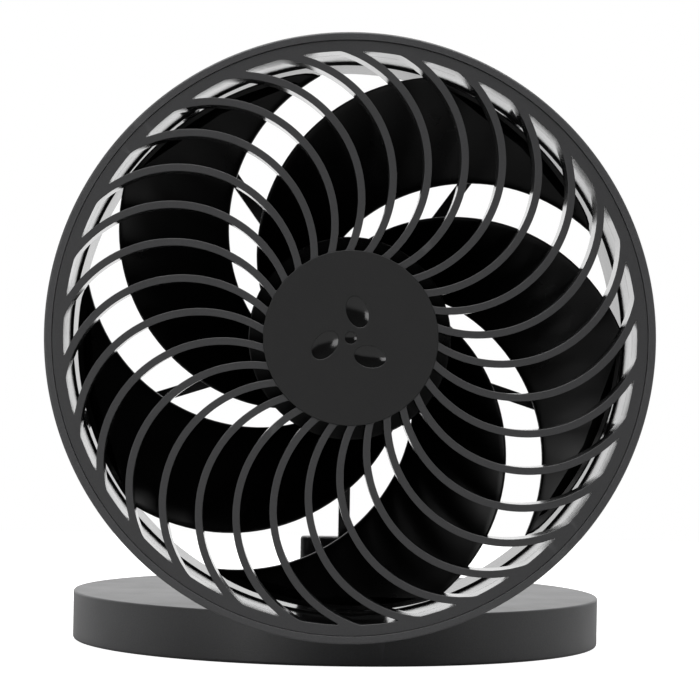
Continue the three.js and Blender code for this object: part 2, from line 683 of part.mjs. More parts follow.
const baseScrew = screwProfile(2.4, 1, 1, 8.2);
SCREW_POSITIONS.forEach(([x, y], i) => {
  const screw = turnedZ(baseScrew, SCREW_SIDES).translate(x, y, PLATE_BOTTOM + 0.1);
  piece(base, `base_screw_${i + 1}`, screw, steel);
});

// ---------------------------------------------------------------- base contents

// The ballast keeps the fan from tipping under the head. It leaves room for hinge and control board.
const BALLAST = [PLATE_TOP + GAP, PLATE_TOP + GAP + 2.5];
const ballastTools = [
  box([-21, 21], [-80, -57], [0, 10]),
  box([-18, 28], [42, 80], [0, 10]),
];
for (const [x, y] of SCREW_POSITIONS) {
  ballastTools.push(rodZ(3.6, [0, 10], x, y, SCREW_SIDES));
}
const ballastBody = turnedZ(ringProfile(24, 67, ...BALLAST), RIM_SIDES);
piece(base, 'ballast_weight', cut(ballastBody, ...ballastTools), steel);

const cellOutline = roundedOutline([-25, 25], [-36, 30], 2);
const cellSpan = [BALLAST[1] + GAP, ceiling - GAP];
piece(base, 'battery_cell', plateZ(cellOutline, cellSpan), pouchSilver);

const boardTools = BOARD_SCREWS.map(([x, y]) => rodZ(1.1, [0, 20], x, y, SCREW_SIDES));
const boardBody = box([-14, 24], [44, 66], [BOARD_TOP - 1.2, BOARD_TOP]);
piece(base, 'control_board', cut(boardBody, ...boardTools), boardGreen);
const boardScrew = screwProfile(1.7, 0.8, 1, 4.6);
BOARD_SCREWS.forEach(([x, y], i) => {
  const screw = turnedZ(boardScrew, SCREW_SIDES).translate(x, y, BOARD_TOP - 2.5);
  piece(base, `board_screw_${i + 1}`, screw, steel);
});

// The charging socket: a rounded metal shell around a flat tongue.
const SOCKET = [65.5, 74.1];
const shellOuter = roundedOutline([-4.47, 4.47], [SOCKET_Z - 1.6, SOCKET_Z + 1.6], 1.55);
const shellInner = roundedOutline([-4.15, 4.15], [SOCKET_Z - 1.28, SOCKET_Z + 1.28], 1.25);
const socketHollow = plateY(shellInner, [SOCKET[0] + 1.2, SOCKET[1] + 1]);
const tongueDepth = [SOCKET[0] + 0.5, SOCKET[1] - 0.6];
const tongue = box([-3.3, 3.3], tongueDepth, [SOCKET_Z - 0.35, SOCKET_Z + 0.35]);
piece(base, 'usb_socket', join(cut(plateY(shellOuter, SOCKET), socketHollow), tongue), steel);

const SWITCH_HALF = 3;
const switchSpan = [BUTTON_X - SWITCH_HALF, BUTTON_X + SWITCH_HALF];
const switchBody = join(
  box(switchSpan, [58.5, 62], [BOARD_TOP + GAP, BOARD_TOP + 3.8]),
  rodY(0.9, [61, 64.5], BUTTON_X, SOCKET_Z, SCREW_SIDES),
);
piece(base, 'tact_switch', switchBody, componentBlack);
const LED_HALF = 0.8;
const ledSpan = [LIGHT_X - LED_HALF, LIGHT_X + LED_HALF];
const ledBody = box(ledSpan, [63.5, 65.2], [BOARD_TOP + GAP, SOCKET_Z + LED_HALF]);
piece(base, 'charge_led', ledBody, clearPlastic);
const lightPipe = rodY(1, [65.6, 73.9], LIGHT_X, SOCKET_Z, SCREW_SIDES);
piece(base, 'light_pipe', lightPipe, clearPlastic);

// ---------------------------------------------------------------- power button

// The button slides inwards through the rear wall and presses the switch behind it.
const BUTTON_STEM_R = 1.2;
const BUTTON_INNER_Y = 65.7;
const BUTTON_OUTER_Y = 73.3;
const BUTTON_EDGE = 0.4;
const buttonProfile = [
  [0, BUTTON_INNER_Y],
  [BUTTON_STEM_R, BUTTON_INNER_Y],
  [BUTTON_STEM_R, BUTTON_FLANGE[0]],
  [BUTTON_FLANGE_R, BUTTON_FLANGE[0]],
  [BUTTON_FLANGE_R, BUTTON_FLANGE[1]],
  [BUTTON_R, BUTTON_FLANGE[1]],
  [BUTTON_R, BUTTON_OUTER_Y - BUTTON_EDGE],
  [BUTTON_R - BUTTON_EDGE, BUTTON_OUTER_Y],
  [0, BUTTON_OUTER_Y],
];
const buttonBody = turnedY(buttonProfile, SMALL_SIDES).translate(BUTTON_X, 0, SOCKET_Z);
piece(fan, 'power_button', buttonBody, blackPlastic);

// ---------------------------------------------------------------- leads

// The motor lead runs from the motor board down the lowest strut and the neck to the hinge axis.
const strutLeadY = HEAD_REAR_Y - 1.3;
const neckLeadY = NECK_FRONT_Y + 1.4;
const motorLead = [
  [0, HEAD_FRONT_Y + 38.2, HEAD_AXIS_Z - 17.5],
  [0, strutLeadY - 0.6, HEAD_AXIS_Z - 22],
  [0, strutLeadY, HEAD_AXIS_Z - 27],
  [0, strutLeadY, NECK_TOP + 4],
  [0, neckLeadY, NECK_TOP - 3],
  [0, neckLeadY, HINGE_Z + 5],
  [0, neckLeadY + 1.6, HINGE_Z + 1.4],
  [0.1, HINGE_Y - 1.6, HINGE_Z + 0.35],
  [1.2, HINGE_Y - 0.1, HINGE_Z],
  [TUBE_START - 0.4, HINGE_Y, HINGE_Z],
];
piece(neckGroup, 'motor_lead', lead(motorLead, 34), leadBlack);

// The base lead starts in the hollow right-hand pin, face to face with the motor lead, and runs
// beside the battery to the control board.
const baseLead = [
  [TUBE_START + 0.1, HINGE_Y, HINGE_Z],
  [EAR_END - 1, HINGE_Y, HINGE_Z],
  [EAR_END + 3, HINGE_Y + 2.5, HINGE_Z - 0.5],
  [28, HINGE_Y + 18, HINGE_Z - 1],
  [30.5, -20, 8.6],
  [30.5, 24, 8.6],
  [27, 44, 9.2],
  [22.5, 54, 8.6],
];
piece(base, 'base_lead', lead(baseLead, 28), leadBlack);

export default fan;
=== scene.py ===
import bmesh
import bpy
import numpy as np
from mathutils import Matrix, Vector
from mathutils.geometry import delaunay_2d_cdt


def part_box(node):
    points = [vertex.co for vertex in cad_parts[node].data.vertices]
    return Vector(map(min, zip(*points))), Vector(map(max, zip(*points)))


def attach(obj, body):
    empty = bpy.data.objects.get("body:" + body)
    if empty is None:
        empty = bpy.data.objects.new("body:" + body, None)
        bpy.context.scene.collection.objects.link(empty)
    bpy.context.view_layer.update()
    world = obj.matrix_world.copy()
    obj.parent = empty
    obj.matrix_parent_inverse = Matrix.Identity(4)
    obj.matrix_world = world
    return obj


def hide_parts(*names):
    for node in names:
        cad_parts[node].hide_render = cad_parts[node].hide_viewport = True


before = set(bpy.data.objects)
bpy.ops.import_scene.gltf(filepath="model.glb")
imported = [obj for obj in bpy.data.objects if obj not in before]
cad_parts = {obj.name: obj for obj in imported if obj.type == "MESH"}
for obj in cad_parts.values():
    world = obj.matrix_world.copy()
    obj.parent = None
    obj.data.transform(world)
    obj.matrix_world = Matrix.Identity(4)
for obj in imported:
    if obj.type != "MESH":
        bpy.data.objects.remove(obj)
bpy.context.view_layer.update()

MM = 0.001

# ---------- camera
# A long lens square to the grille but for a slight turn, a little below the head's axis, and rolled one
# degree against the desk. The head's axis runs along Y through the middle of the outer ring.
ring_low, ring_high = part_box("outer_ring")
axis_z = (ring_low.z + ring_high.z) / 2
front_y = ring_low.y
view_distance = 700 * MM
view_drop = 7.3 * MM
aim_drop = 2.95 * MM
aim_right = -0.16 * MM
view_turn = np.radians(1.5)
view_roll = np.radians(1.01)
up = Vector((0, 0, 1))
towards_fan = Vector((np.sin(view_turn), np.cos(view_turn), 0))
head_front = Vector((0, front_y, axis_z))
eye = head_front - towards_fan * view_distance - up * view_drop
aim = head_front + towards_fan.cross(up) * aim_right - up * aim_drop
forward = (aim - eye).normalized()
level_right = forward.cross(up).normalized()
level_up = level_right.cross(forward)
camera_right = level_right * np.cos(view_roll) + level_up * np.sin(view_roll)
camera_up = level_up * np.cos(view_roll) - level_right * np.sin(view_roll)
lens = bpy.data.cameras.new("camera")
lens.lens = 147.1
lens.sensor_width = 36
lens.clip_start = 10 * MM
camera = bpy.data.objects.new("camera", lens)
turn_to_aim = Matrix((camera_right, camera_up, -forward)).transposed().to_4x4()
camera.matrix_world = Matrix.Translation(eye) @ turn_to_aim
bpy.context.collection.objects.link(camera)
bpy.context.scene.camera = camera

# ---------- studio and floor
# A white sweep, bright behind the fan and dark on the viewer's side, a wide soft box overhead, one on each
# side and two small dim ones in front. The floor is white, throws little light back, and ends behind the
# fan, so the smooth duct mirrors the sweep.


def wire(tree, node, inputs):
    """Gives each input of a node its value, or links it where the value is another node's output."""
    for name, value in inputs.items():
        if isinstance(value, bpy.types.NodeSocket):
            tree.links.new(value, node.inputs[name])
        else:
            node.inputs[name].default_value = value


def add_node(tree, kind, inputs=None, **settings):
    """One new node with its settings and its inputs."""
    node = tree.nodes.new(kind)
    for name, value in settings.items():
        setattr(node, name, value)
    wire(tree, node, inputs or {})
    return node


bpy.context.scene.view_settings.view_transform = "Standard"
bpy.context.scene.view_settings.look = "None"
studio = bpy.data.worlds.new("studio")
studio.use_nodes = True
bpy.context.scene.world = studio
tree = studio.node_tree
tree.nodes.clear()
white = (1, 1, 1, 1)
direction = add_node(tree, "ShaderNodeTexCoord")
components = add_node(tree, "ShaderNodeSeparateXYZ", {"Vector": direction.outputs["Generated"]})
glow = add_node(tree, "ShaderNodeMapRange", {
    "Value": components.outputs["Y"], "From Min": 0.25, "From Max": 0.95, "To Min": 0.035, "To Max": 1.45,
}, interpolation_type="SMOOTHSTEP")
surround = add_node(tree, "ShaderNodeBackground", {"Color": white, "Strength": glow.outputs["Result"]})
backdrop = add_node(tree, "ShaderNodeBackground", {"Color": white})
ray = add_node(tree, "ShaderNodeLightPath")
seen_or_lit = add_node(tree, "ShaderNodeMixShader", {
    "Fac": ray.outputs["Is Camera Ray"], 1: surround.outputs["Background"], 2: backdrop.outputs["Background"],
})
add_node(tree, "ShaderNodeOutputWorld", {"Surface": seen_or_lit.outputs["Shader"]})

floor_half, floor_back = 3.0, 0.5
floor_z = -0.05 * MM
floor_mesh = bpy.data.meshes.new("floor")
floor_corners = [(x, y, floor_z) for y in (-floor_half, floor_back) for x in (-floor_half, floor_half)]
floor_mesh.from_pydata(floor_corners, [], [(0, 1, 3, 2)])
floor = bpy.data.objects.new("floor", floor_mesh)
bpy.context.collection.objects.link(floor)
floor_white = bpy.data.materials.new("floor_white")
floor_white.use_nodes = True
tree = floor_white.node_tree
tree.nodes.clear()
matte = add_node(tree, "ShaderNodeBsdfDiffuse", {"Color": (0.4, 0.4, 0.4, 1)})
ray = add_node(tree, "ShaderNodeLightPath")
lift = add_node(tree, "ShaderNodeEmission", {"Strength": ray.outputs["Is Camera Ray"]})
lifted = add_node(tree, "ShaderNodeAddShader", {0: matte.outputs["BSDF"], 1: lift.outputs["Emission"]})
add_node(tree, "ShaderNodeOutputMaterial", {"Surface": lifted.outputs["Shader"]})
floor_mesh.materials.append(floor_white)

soft_boxes = {
    "overhead_box": ((0.0, -0.35, 1.25), 1.4, 0.8, 27.0),
    "left_box": ((-1.0, 0.0, 0.3), 0.4, 1.0, 0.6),
    "right_box": ((1.0, 0.0, 0.3), 0.4, 1.0, 0.8),
    "front_left_box": ((-0.65, -0.9, 0.12), 0.4, 0.4, 2.2),
    "front_right_box": ((0.9, -0.55, 0.03), 0.5, 0.3, 0.7),
}
for box_name, (place, width, height, watts) in soft_boxes.items():
    area = bpy.data.lights.new(box_name, "AREA")
    area.shape = "RECTANGLE"
    area.size = width
    area.size_y = height
    area.energy = watts
    soft_box = bpy.data.objects.new(box_name, area)
    turn_to_fan = (head_front - Vector(place)).to_track_quat("-Z", "Y").to_matrix().to_4x4()
    soft_box.matrix_world = Matrix.Translation(place) @ turn_to_fan
    bpy.context.collection.objects.link(soft_box)

# ---------- base pad
# The rubber pad the fan stands on: a die-cut disc stuck to the base plate, with concentric grip grooves
# moulded into its underside and a dusty, scuffed surface.


def rounded_outline(corners, radii, steps=5, hold=0.12 * MM, closed=True):
    """An outline whose corners are turned into arcs. With unit vectors u and v from a corner to its
    neighbours, and h half the angle between them, the arc's centre lies r / sin(h) along u + v and
    the arc touches the sides r / tan(h) from the corner. One more point past each end of an arc
    keeps the flats flat."""
    corners = np.asarray(corners, float)
    stretches = []
    for i, (corner, radius) in enumerate(zip(corners, radii)):
        if radius == 0 or (not closed and i in (0, len(corners) - 1)):
            stretches.append(corner[None])
            continue
        u, v = corners[i - 1] - corner, corners[(i + 1) % len(corners)] - corner
        u, v = u / np.linalg.norm(u), v / np.linalg.norm(v)
        half = np.arccos(np.clip(u @ v, -1, 1)) / 2
        centre = corner + (u + v) / np.linalg.norm(u + v) * radius / np.sin(half)
        start, end = corner + u * radius / np.tan(half), corner + v * radius / np.tan(half)
        share = np.linspace(0, 1, steps + 1)[:, None]
        spokes = (start - centre) * (1 - share) + (end - centre) * share
        arc = centre + radius * spokes / np.linalg.norm(spokes, axis=1, keepdims=True)
        stretches.append(np.vstack([start + u * hold, arc, end + v * hold]))
    return np.vstack(stretches)


# Every ring of vertices starts this far round, so none lies on a diagonal, where the edge wear below would
# take neighbouring vertices for doubles.
first_turn = 0.013


def turned_z(profile, turns=200):
    """A profile of points (radius r, height h) turned about the vertical axis: (r sin a, -r cos a, h)."""
    angle = np.linspace(0, 2 * np.pi, turns, endpoint=False)[:, None] + first_turn
    r, h = np.asarray(profile).T
    x, y = r * np.sin(angle), -r * np.cos(angle)
    return np.stack([x, y, np.broadcast_to(h, x.shape)], axis=-1)


def grid_faces(rows, columns, close_rows, close_columns):
    """Four-cornered faces between the neighbours of a grid of points that is numbered row by row."""
    i = np.arange(rows if close_rows else rows - 1)[:, None]
    j = np.arange(columns if close_columns else columns - 1)[None]
    below, beside = (i + 1) % rows, (j + 1) % columns
    corners = (i * columns + j, below * columns + j, below * columns + beside, i * columns + beside)
    return np.stack(np.broadcast_arrays(*corners), axis=-1).reshape(-1, 4)


def new_piece(name, grids, sheets=()):
    """One smooth object from grids, each (points, close_rows, close_columns), and sheets, each (points,
    faces). Doubles are merged, and the faces are turned outwards."""
    points, faces, first = [], [], 0
    for grid, close_rows, close_columns in grids:
        numbers = grid_faces(*grid.shape[:2], close_rows, close_columns)
        sheets = [*sheets, (grid.reshape(-1, 3), numbers)]
    for corners, numbers in sheets:
        points.append(corners)
        faces += (np.asarray(numbers) + first).tolist()
        first += len(corners)
    mesh = bpy.data.meshes.new(name)
    mesh.from_pydata(np.vstack(points), [], faces)
    welded = bmesh.new()
    welded.from_mesh(mesh)
    bmesh.ops.remove_doubles(welded, verts=welded.verts, dist=0.001 * MM)
    bmesh.ops.recalc_face_normals(welded, faces=welded.faces)
    welded.to_mesh(mesh)
    welded.free()
    mesh.shade_smooth()
    piece = bpy.data.objects.new(name, mesh)
    bpy.context.collection.objects.link(piece)
    return piece


def new_group(name, inputs, outputs):
    """An empty shader node group, its inputs each a name and a value, its outputs each a name and a kind."""
    group = bpy.data.node_groups.new(name, "ShaderNodeTree")
    for socket, value in inputs.items():
        made = group.interface.new_socket(name=socket, in_out="INPUT", socket_type="NodeSocketFloat")
        made.default_value = value
    for socket, kind in outputs.items():
        group.interface.new_socket(name=socket, in_out="OUTPUT", socket_type=f"NodeSocket{kind}")
    return group


# Grain: fine bumps all over a moulded surface, slow changes of gloss and a slight mottling.
grain = new_group(
    "mould_grain", {"Bumps per metre": 3000, "Height": 0.02 * MM, "Smoothest": 0.45, "Roughest": 0.6},
    {"Roughness": "Float", "Shade": "Float", "Normal": "Vector"},
)
given = add_node(grain, "NodeGroupInput")
place = add_node(grain, "ShaderNodeTexCoord")
bumps = add_node(grain, "ShaderNodeTexNoise", {
    "Vector": place.outputs["Object"], "Scale": given.outputs["Bumps per metre"], "Detail": 2,
})
bump = add_node(grain, "ShaderNodeBump", {
    "Height": bumps.outputs["Fac"], "Distance": given.outputs["Height"],
})
patches = add_node(grain, "ShaderNodeTexNoise", {"Vector": place.outputs["Object"], "Scale": 70, "Detail": 4})
gloss = add_node(grain, "ShaderNodeMapRange", {
    "Value": patches.outputs["Fac"], "From Min": 0.3, "From Max": 0.7,
    "To Min": given.outputs["Smoothest"], "To Max": given.outputs["Roughest"],
})
shade = add_node(grain, "ShaderNodeMapRange", {
    "Value": bumps.outputs["Fac"], "From Min": 0.25, "From Max": 0.75, "To Min": 0.86, "To Max": 1.14,
})
add_node(grain, "NodeGroupOutput", {
    "Roughness": gloss.outputs["Result"], "Shade": shade.outputs["Result"], "Normal": bump.outputs["Normal"],
})

# Edge wear: 1 on outer edges, broken up by noise, and 0 on flats.
wear = new_group("edge_wear", {"Start": 0.52, "Full": 0.6}, {"Worn": "Float"})
given = add_node(wear, "NodeGroupInput")
surface = add_node(wear, "ShaderNodeNewGeometry")
sharpness = add_node(wear, "ShaderNodeMapRange", {
    "Value": surface.outputs["Pointiness"],
    "From Min": given.outputs["Start"], "From Max": given.outputs["Full"],
})
place = add_node(wear, "ShaderNodeTexCoord")
breaks = add_node(wear, "ShaderNodeTexNoise", {"Vector": place.outputs["Object"], "Scale": 260, "Detail": 3})
rubbed = add_node(wear, "ShaderNodeMath", {
    0: sharpness.outputs["Result"], 1: breaks.outputs["Fac"],
}, operation="MULTIPLY")
add_node(wear, "NodeGroupOutput", {"Worn": rubbed.outputs["Value"]})


def new_finish(name):
    """A new material, with its node tree and its shader."""
    finish = bpy.data.materials.new(name)
    finish.use_nodes = True
    return finish, finish.node_tree, finish.node_tree.nodes["Principled BSDF"]


def mix_colours(tree, share, first, second, blend="MIX"):
    """The colour from first to second by a share. A Mix node's colours go by their places: 6, 7 and 2."""
    inputs = {0: share, 6: first, 7: second}
    return add_node(tree, "ShaderNodeMix", inputs, data_type="RGBA", blend_type=blend).outputs[2]


def moulded(name, colour, worn, roughness, per_metre, height, specular=0.5, metallic=0.0):
    """A finish of one colour, mottled and roughened by the grain and lighter on its worn edges."""
    finish, tree, shader = new_finish(name)
    surface = add_node(tree, "ShaderNodeGroup", {
        "Bumps per metre": per_metre, "Height": height, "Smoothest": roughness[0], "Roughest": roughness[1],
    }, node_tree=grain)
    edges = add_node(tree, "ShaderNodeGroup", node_tree=wear)
    rubbed = mix_colours(tree, edges.outputs["Worn"], (*colour, 1), (*worn, 1))
    wire(tree, shader, {
        "Base Color": mix_colours(tree, 1, rubbed, surface.outputs["Shade"], "MULTIPLY"),
        "Roughness": surface.outputs["Roughness"], "Normal": surface.outputs["Normal"],
        "Specular IOR Level": specular, "Metallic": metallic,
    })
    return finish


pad_low, pad_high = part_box("base_pad")
pad_r = pad_high.x
groove_r = np.arange(12, 66, 6) * MM
groove_half, groove_depth = 0.6 * MM, 0.35 * MM
groove_floor_share = 0.7
grooves = [
    (r + side * groove_half, pad_low.z + lift)
    for r in groove_r[::-1]
    for side, lift in (
        (1, 0), (groove_floor_share, groove_depth), (-groove_floor_share, groove_depth), (-1, 0))
]
pad_edge = rounded_outline(
    [(0, pad_high.z), (pad_r, pad_high.z), (pad_r, pad_low.z), (pad_r - 2 * MM, pad_low.z)],
    [0, 0.15 * MM, 0.25 * MM, 0], closed=False,
)
pad_profile = np.vstack([pad_edge, grooves, [(0, pad_low.z)]])
base_pad = new_piece("rubber_pad", [(turned_z(pad_profile), True, False)])
pad_rubber = moulded(
    "pad_rubber", (0.016, 0.016, 0.017), (0.06, 0.06, 0.06), (0.75, 0.95), 1800, 0.04 * MM, specular=0.3)
base_pad.data.materials.append(pad_rubber)
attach(base_pad, "base")
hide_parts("base_pad")

# ---------- base plate and its screws
# The moulded floor of the base, held up into the cover by four screws from below. The screw heads sit in
# counterbores that the pad covers.


def circle(radius, count, centre=(0, 0)):
    """A closed loop of points on a circle."""
    angle = np.linspace(0, 2 * np.pi, count, endpoint=False) + first_turn
    return np.stack([centre[0] + radius * np.cos(angle), centre[1] + radius * np.sin(angle)], axis=-1)


def plate(loops, low, high, lip, place, steps=4, hold=0.08 * MM, pits=(), pit_floor=0.0):
    """A flat plate from low to high. The first loop is its outline, the others are holes, and pits are
    blind holes from the low face down to pit_floor. Every wall's lip is a quarter circle set back into
    the material, and place(flat points, depth) puts each point into the object."""
    turn = np.linspace(0, np.pi / 2, steps + 1)
    lip_in = np.concatenate([[lip + 2 * hold, lip + hold], lip * (1 - np.sin(turn))])
    lip_down = np.concatenate([[0, 0], lip * (1 - np.cos(turn))])
    through_in = np.concatenate([lip_in, [0, 0], lip_in[::-1]])
    below_lip = low + lip + hold
    through_depth = np.concatenate([low + lip_down, [below_lip, high - lip - hold], (high - lip_down)[::-1]])
    pit_in = np.concatenate([lip_in, [0, 0, -lip / 2]])
    pit_depth = np.concatenate([low + lip_down, [below_lip, pit_floor - lip / 2, pit_floor]])
    grids, sheets, front, back = [], [], [], []
    for number, loop in enumerate([*loops, *pits]):
        ahead, behind = np.roll(loop, -1, axis=0), np.roll(loop, 1, axis=0)
        if np.sum(loop[:, 0] * ahead[:, 1] - ahead[:, 0] * loop[:, 1]) < 0:
            loop, ahead, behind = loop[::-1], behind[::-1], ahead[::-1]
        along = ahead - behind
        inner = np.stack([-along[:, 1], along[:, 0]], axis=-1) / np.linalg.norm(along, axis=1, keepdims=True)
        into = inner if number == 0 else -inner
        blind = number >= len(loops)
        set_back, depth = (pit_in, pit_depth) if blind else (through_in, through_depth)
        flat = loop[None] + into[None] * set_back[:, None, None]
        grids.append((place(flat, np.broadcast_to(depth[:, None], flat.shape[:2])), False, True))
        front.append(flat[0])
        if blind:
            sheets.append((place(flat[-1], np.full(len(loop), pit_floor)), [range(len(loop))]))
        else:
            back.append(flat[-1])
    for brims, level in ((front, low), (back, high)):
        ends = np.cumsum([0] + [len(brim) for brim in brims])
        rings = [list(range(a, b)) for a, b in zip(ends[:-1], ends[1:])]
        corners = [Vector(corner) for corner in np.vstack(brims)]
        flat, _, faces, _, _, within = delaunay_2d_cdt(corners, [], rings, 1, 1e-9)
        faces = [face for face, inside in zip(faces, within) if list(inside) == [0]]
        flat = np.array([tuple(corner) for corner in flat])
        sheets.append((place(flat, np.full(len(flat), level)), faces))
    return grids, sheets


def lying(flat, height):
    """Flat points (x, y) at a height."""
    return np.stack([flat[..., 0], flat[..., 1], height], axis=-1)


plate_low, plate_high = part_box("base_plate")
base_screws = [f"base_screw_{number}" for number in range(1, 5)]
screw_places = [(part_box(name)[0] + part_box(name)[1]) / 2 for name in base_screws]
counterbore_r, screw_hole_r = 2.7 * MM, 1.4 * MM
seat_z = plate_low.z + 1.3 * MM
counterbores = [circle(counterbore_r, 32, place.xy) for place in screw_places]
screw_holes = [circle(screw_hole_r, 24, place.xy) for place in screw_places]
floor_rim = circle(plate_high.x, 200)
lower_floor = plate([floor_rim, *counterbores], plate_low.z, seat_z, 0.2 * MM, lying)
upper_floor = plate([floor_rim, *screw_holes], seat_z, plate_high.z, 0.1 * MM, lying)
base_floor = new_piece("base_floor", *lower_floor)
base_floor_top = new_piece("base_floor_top", *upper_floor)
floor_black = moulded("floor_plastic", (0.02, 0.02, 0.021), (0.04, 0.04, 0.04), (0.45, 0.6), 2400, 0.03 * MM)
for part in (base_floor, base_floor_top):
    part.data.materials.append(floor_black)
    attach(part, "base")
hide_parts("base_plate")

screw_steel = moulded(
    "screw_steel", (0.5, 0.5, 0.51), (0.75, 0.75, 0.76), (0.28, 0.42), 6000, 0.002 * MM, metallic=1.0)
hexagon_sides = 6


def screw(head_r, shank_r, head_height, length, key_r, steps=36):
    """A pan-head screw along +h with a hexagonal key hole. Each row is a closed loop (r cos a, r sin a, h)
    whose radius lies between a circle's and a hexagon's: the hexagon's is r cos 30 / cos b, with b the
    angle to the middle of its nearest side."""
    angle = np.linspace(0, 2 * np.pi, steps, endpoint=False)
    pitch = 2 * np.pi / hexagon_sides
    flat_side = np.cos(pitch / 2) / np.cos((angle + pitch / 2) % pitch - pitch / 2)
    key_depth, crown = 0.55 * head_height, 0.3 * head_height
    rows = np.array([
        (0, key_depth, 1), (key_r, key_depth, 1), (key_r, 0.02 * MM, 1), (1.05 * key_r, 0, 1),
        (0.75 * head_r, 0, 0), (0.93 * head_r, 0.4 * crown, 0), (head_r, crown, 0),
        (head_r, head_height, 0), (shank_r, head_height, 0), (shank_r, length - shank_r / 2, 0),
        (shank_r / 2, length, 0), (0, length, 0),
    ])
    radius = rows[:, :1] * (1 + rows[:, 2:] * (flat_side[None] - 1))
    height = np.broadcast_to(rows[:, 1:2], radius.shape)
    return np.stack([radius * np.cos(angle), radius * np.sin(angle), height], axis=-1)


def fit_screw(node, body, shank_r, head_height, key_r, laid=False):
    """A screw that fills a CAD node's box, upright with its head down, or laid with its head to the rear:
    (x, y, z) goes to (x, -z, y)."""
    low, high = (np.array(corner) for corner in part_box(node))
    (x, y, z), (width, depth, height) = (low + high) / 2, high - low
    shape = screw(width / 2, shank_r, head_height, depth if laid else height, key_r)
    if laid:
        shape = shape[..., [0, 2, 1]] * [1, -1, 1] + [x, high[1], z]
    else:
        shape = shape + [x, y, low[2]]
    fitted = new_piece(f"{node}_hex", [(shape, False, True)])
    fitted.data.materials.append(screw_steel)
    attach(fitted, body)
    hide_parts(node)


for name in base_screws:
    fit_screw(name, "base", shank_r=1 * MM, head_height=1 * MM, key_r=1.1 * MM)

# ---------- ballast and battery
# A cast steel ring keeps the fan from tipping, and a flat lithium cell in a foil pouch lies across it.
# Both are held between the base plate and the cover and never seen, so they keep their plain shapes.


def wear_finish(node, finish):
    """A carried-over part keeps its own mesh and gets the finish."""
    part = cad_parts[node]
    part.data.materials.clear()
    part.data.materials.append(finish)


cast_steel = moulded(
    "cast_steel", (0.23, 0.225, 0.22), (0.5, 0.5, 0.5), (0.45, 0.7), 900, 0.05 * MM, metallic=1.0)
pouch_foil = moulded(
    "pouch_foil", (0.55, 0.56, 0.58), (0.7, 0.7, 0.7), (0.25, 0.4), 350, 0.2 * MM, metallic=0.8)
wear_finish("ballast_weight", cast_steel)
wear_finish("battery_cell", pouch_foil)

# ---------- control board, switch and charge light
# A green glass-fibre board screwed under the cover's rear wall, with a push switch behind the power
# button, a light-emitting diode and a clear light pipe that carries its light to the wall.
board_green, tree, shader = new_finish("board_green")
place = add_node(tree, "ShaderNodeTexCoord")
tracks = add_node(tree, "ShaderNodeTexVoronoi", {
    "Vector": place.outputs["Object"], "Scale": 420,
}, feature="DISTANCE_TO_EDGE")
track_mask = add_node(tree, "ShaderNodeMapRange", {
    "Value": tracks.outputs["Distance"], "From Min": 0.06, "From Max": 0.09,
})
track_bump = add_node(tree, "ShaderNodeBump", {
    "Height": track_mask.outputs["Result"], "Distance": 0.035 * MM,
}, invert=True)
track_green, mask_green = (0.02, 0.11, 0.05, 1), (0.008, 0.055, 0.025, 1)
wire(tree, shader, {
    "Base Color": mix_colours(tree, track_mask.outputs["Result"], track_green, mask_green),
    "Roughness": 0.32, "Normal": track_bump.outputs["Normal"],
})
wear_finish("control_board", board_green)

component_black = moulded(
    "component_black", (0.012, 0.012, 0.012), (0.05, 0.05, 0.05), (0.4, 0.55), 5000, 0.01 * MM)
wear_finish("tact_switch", component_black)

clear_plastic, tree, shader = new_finish("clear_plastic")
place = add_node(tree, "ShaderNodeTexCoord")
haze = add_node(tree, "ShaderNodeTexNoise", {"Vector": place.outputs["Object"], "Scale": 900})
haze_range = add_node(tree, "ShaderNodeMapRange", {
    "Value": haze.outputs["Fac"], "To Min": 0.12, "To Max": 0.3,
})
wire(tree, shader, {
    "Base Color": (0.93, 0.95, 0.97, 1), "Transmission Weight": 0.6, "IOR": 1.49,
    "Roughness": haze_range.outputs["Result"],
})
wear_finish("charge_led", clear_plastic)

for name in ("board_screw_1", "board_screw_2"):
    fit_screw(name, "base", shank_r=0.8 * MM, head_height=1 * MM, key_r=0.8 * MM)


def turned_y(profile, turns=48, centre=(0, 0)):
    """A profile of points (radius r, y) turned about a line along Y: (r sin a, y, r cos a)."""
    angle = np.linspace(0, 2 * np.pi, turns, endpoint=False)[:, None] + first_turn
    r, y = np.asarray(profile).T
    x, z = centre[0] + r * np.sin(angle), centre[1] + r * np.cos(angle)
    return np.stack([x, np.broadcast_to(y, x.shape), z], axis=-1)


pipe_low, pipe_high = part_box("light_pipe")
pipe_axis = ((pipe_low.x + pipe_high.x) / 2, (pipe_low.z + pipe_high.z) / 2)
pipe_r = (pipe_high.x - pipe_low.x) / 2
pipe_chamfer, dome_height = 0.1 * MM, 0.35 * MM
dome = np.linspace(0, np.pi / 2, 9)
pipe_dome = np.stack([pipe_r * np.cos(dome), pipe_high.y - dome_height * (1 - np.sin(dome))], axis=-1)
pipe_foot = [(0, pipe_low.y), (pipe_r - pipe_chamfer, pipe_low.y), (pipe_r, pipe_low.y + pipe_chamfer)]
pipe_profile = np.vstack([pipe_foot, pipe_dome])
light_pipe = new_piece("charge_light_pipe", [(turned_y(pipe_profile, 32, pipe_axis), True, False)])
light_pipe.data.materials.append(clear_plastic)
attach(light_pipe, "base")
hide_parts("light_pipe")

# ---------- charging socket
# A standard deep-drawn metal shell with a flat contact tongue inside, soldered to the control board and
# standing just behind the base's rear wall.
socket_low, socket_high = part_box("usb_socket")
socket_centre = ((socket_low.x + socket_high.x) / 2, (socket_low.z + socket_high.z) / 2)
socket_half = ((socket_high.x - socket_low.x) / 2, (socket_high.z - socket_low.z) / 2)
shell_wall = 0.32 * MM
socket_back = socket_low.y + 1.2 * MM


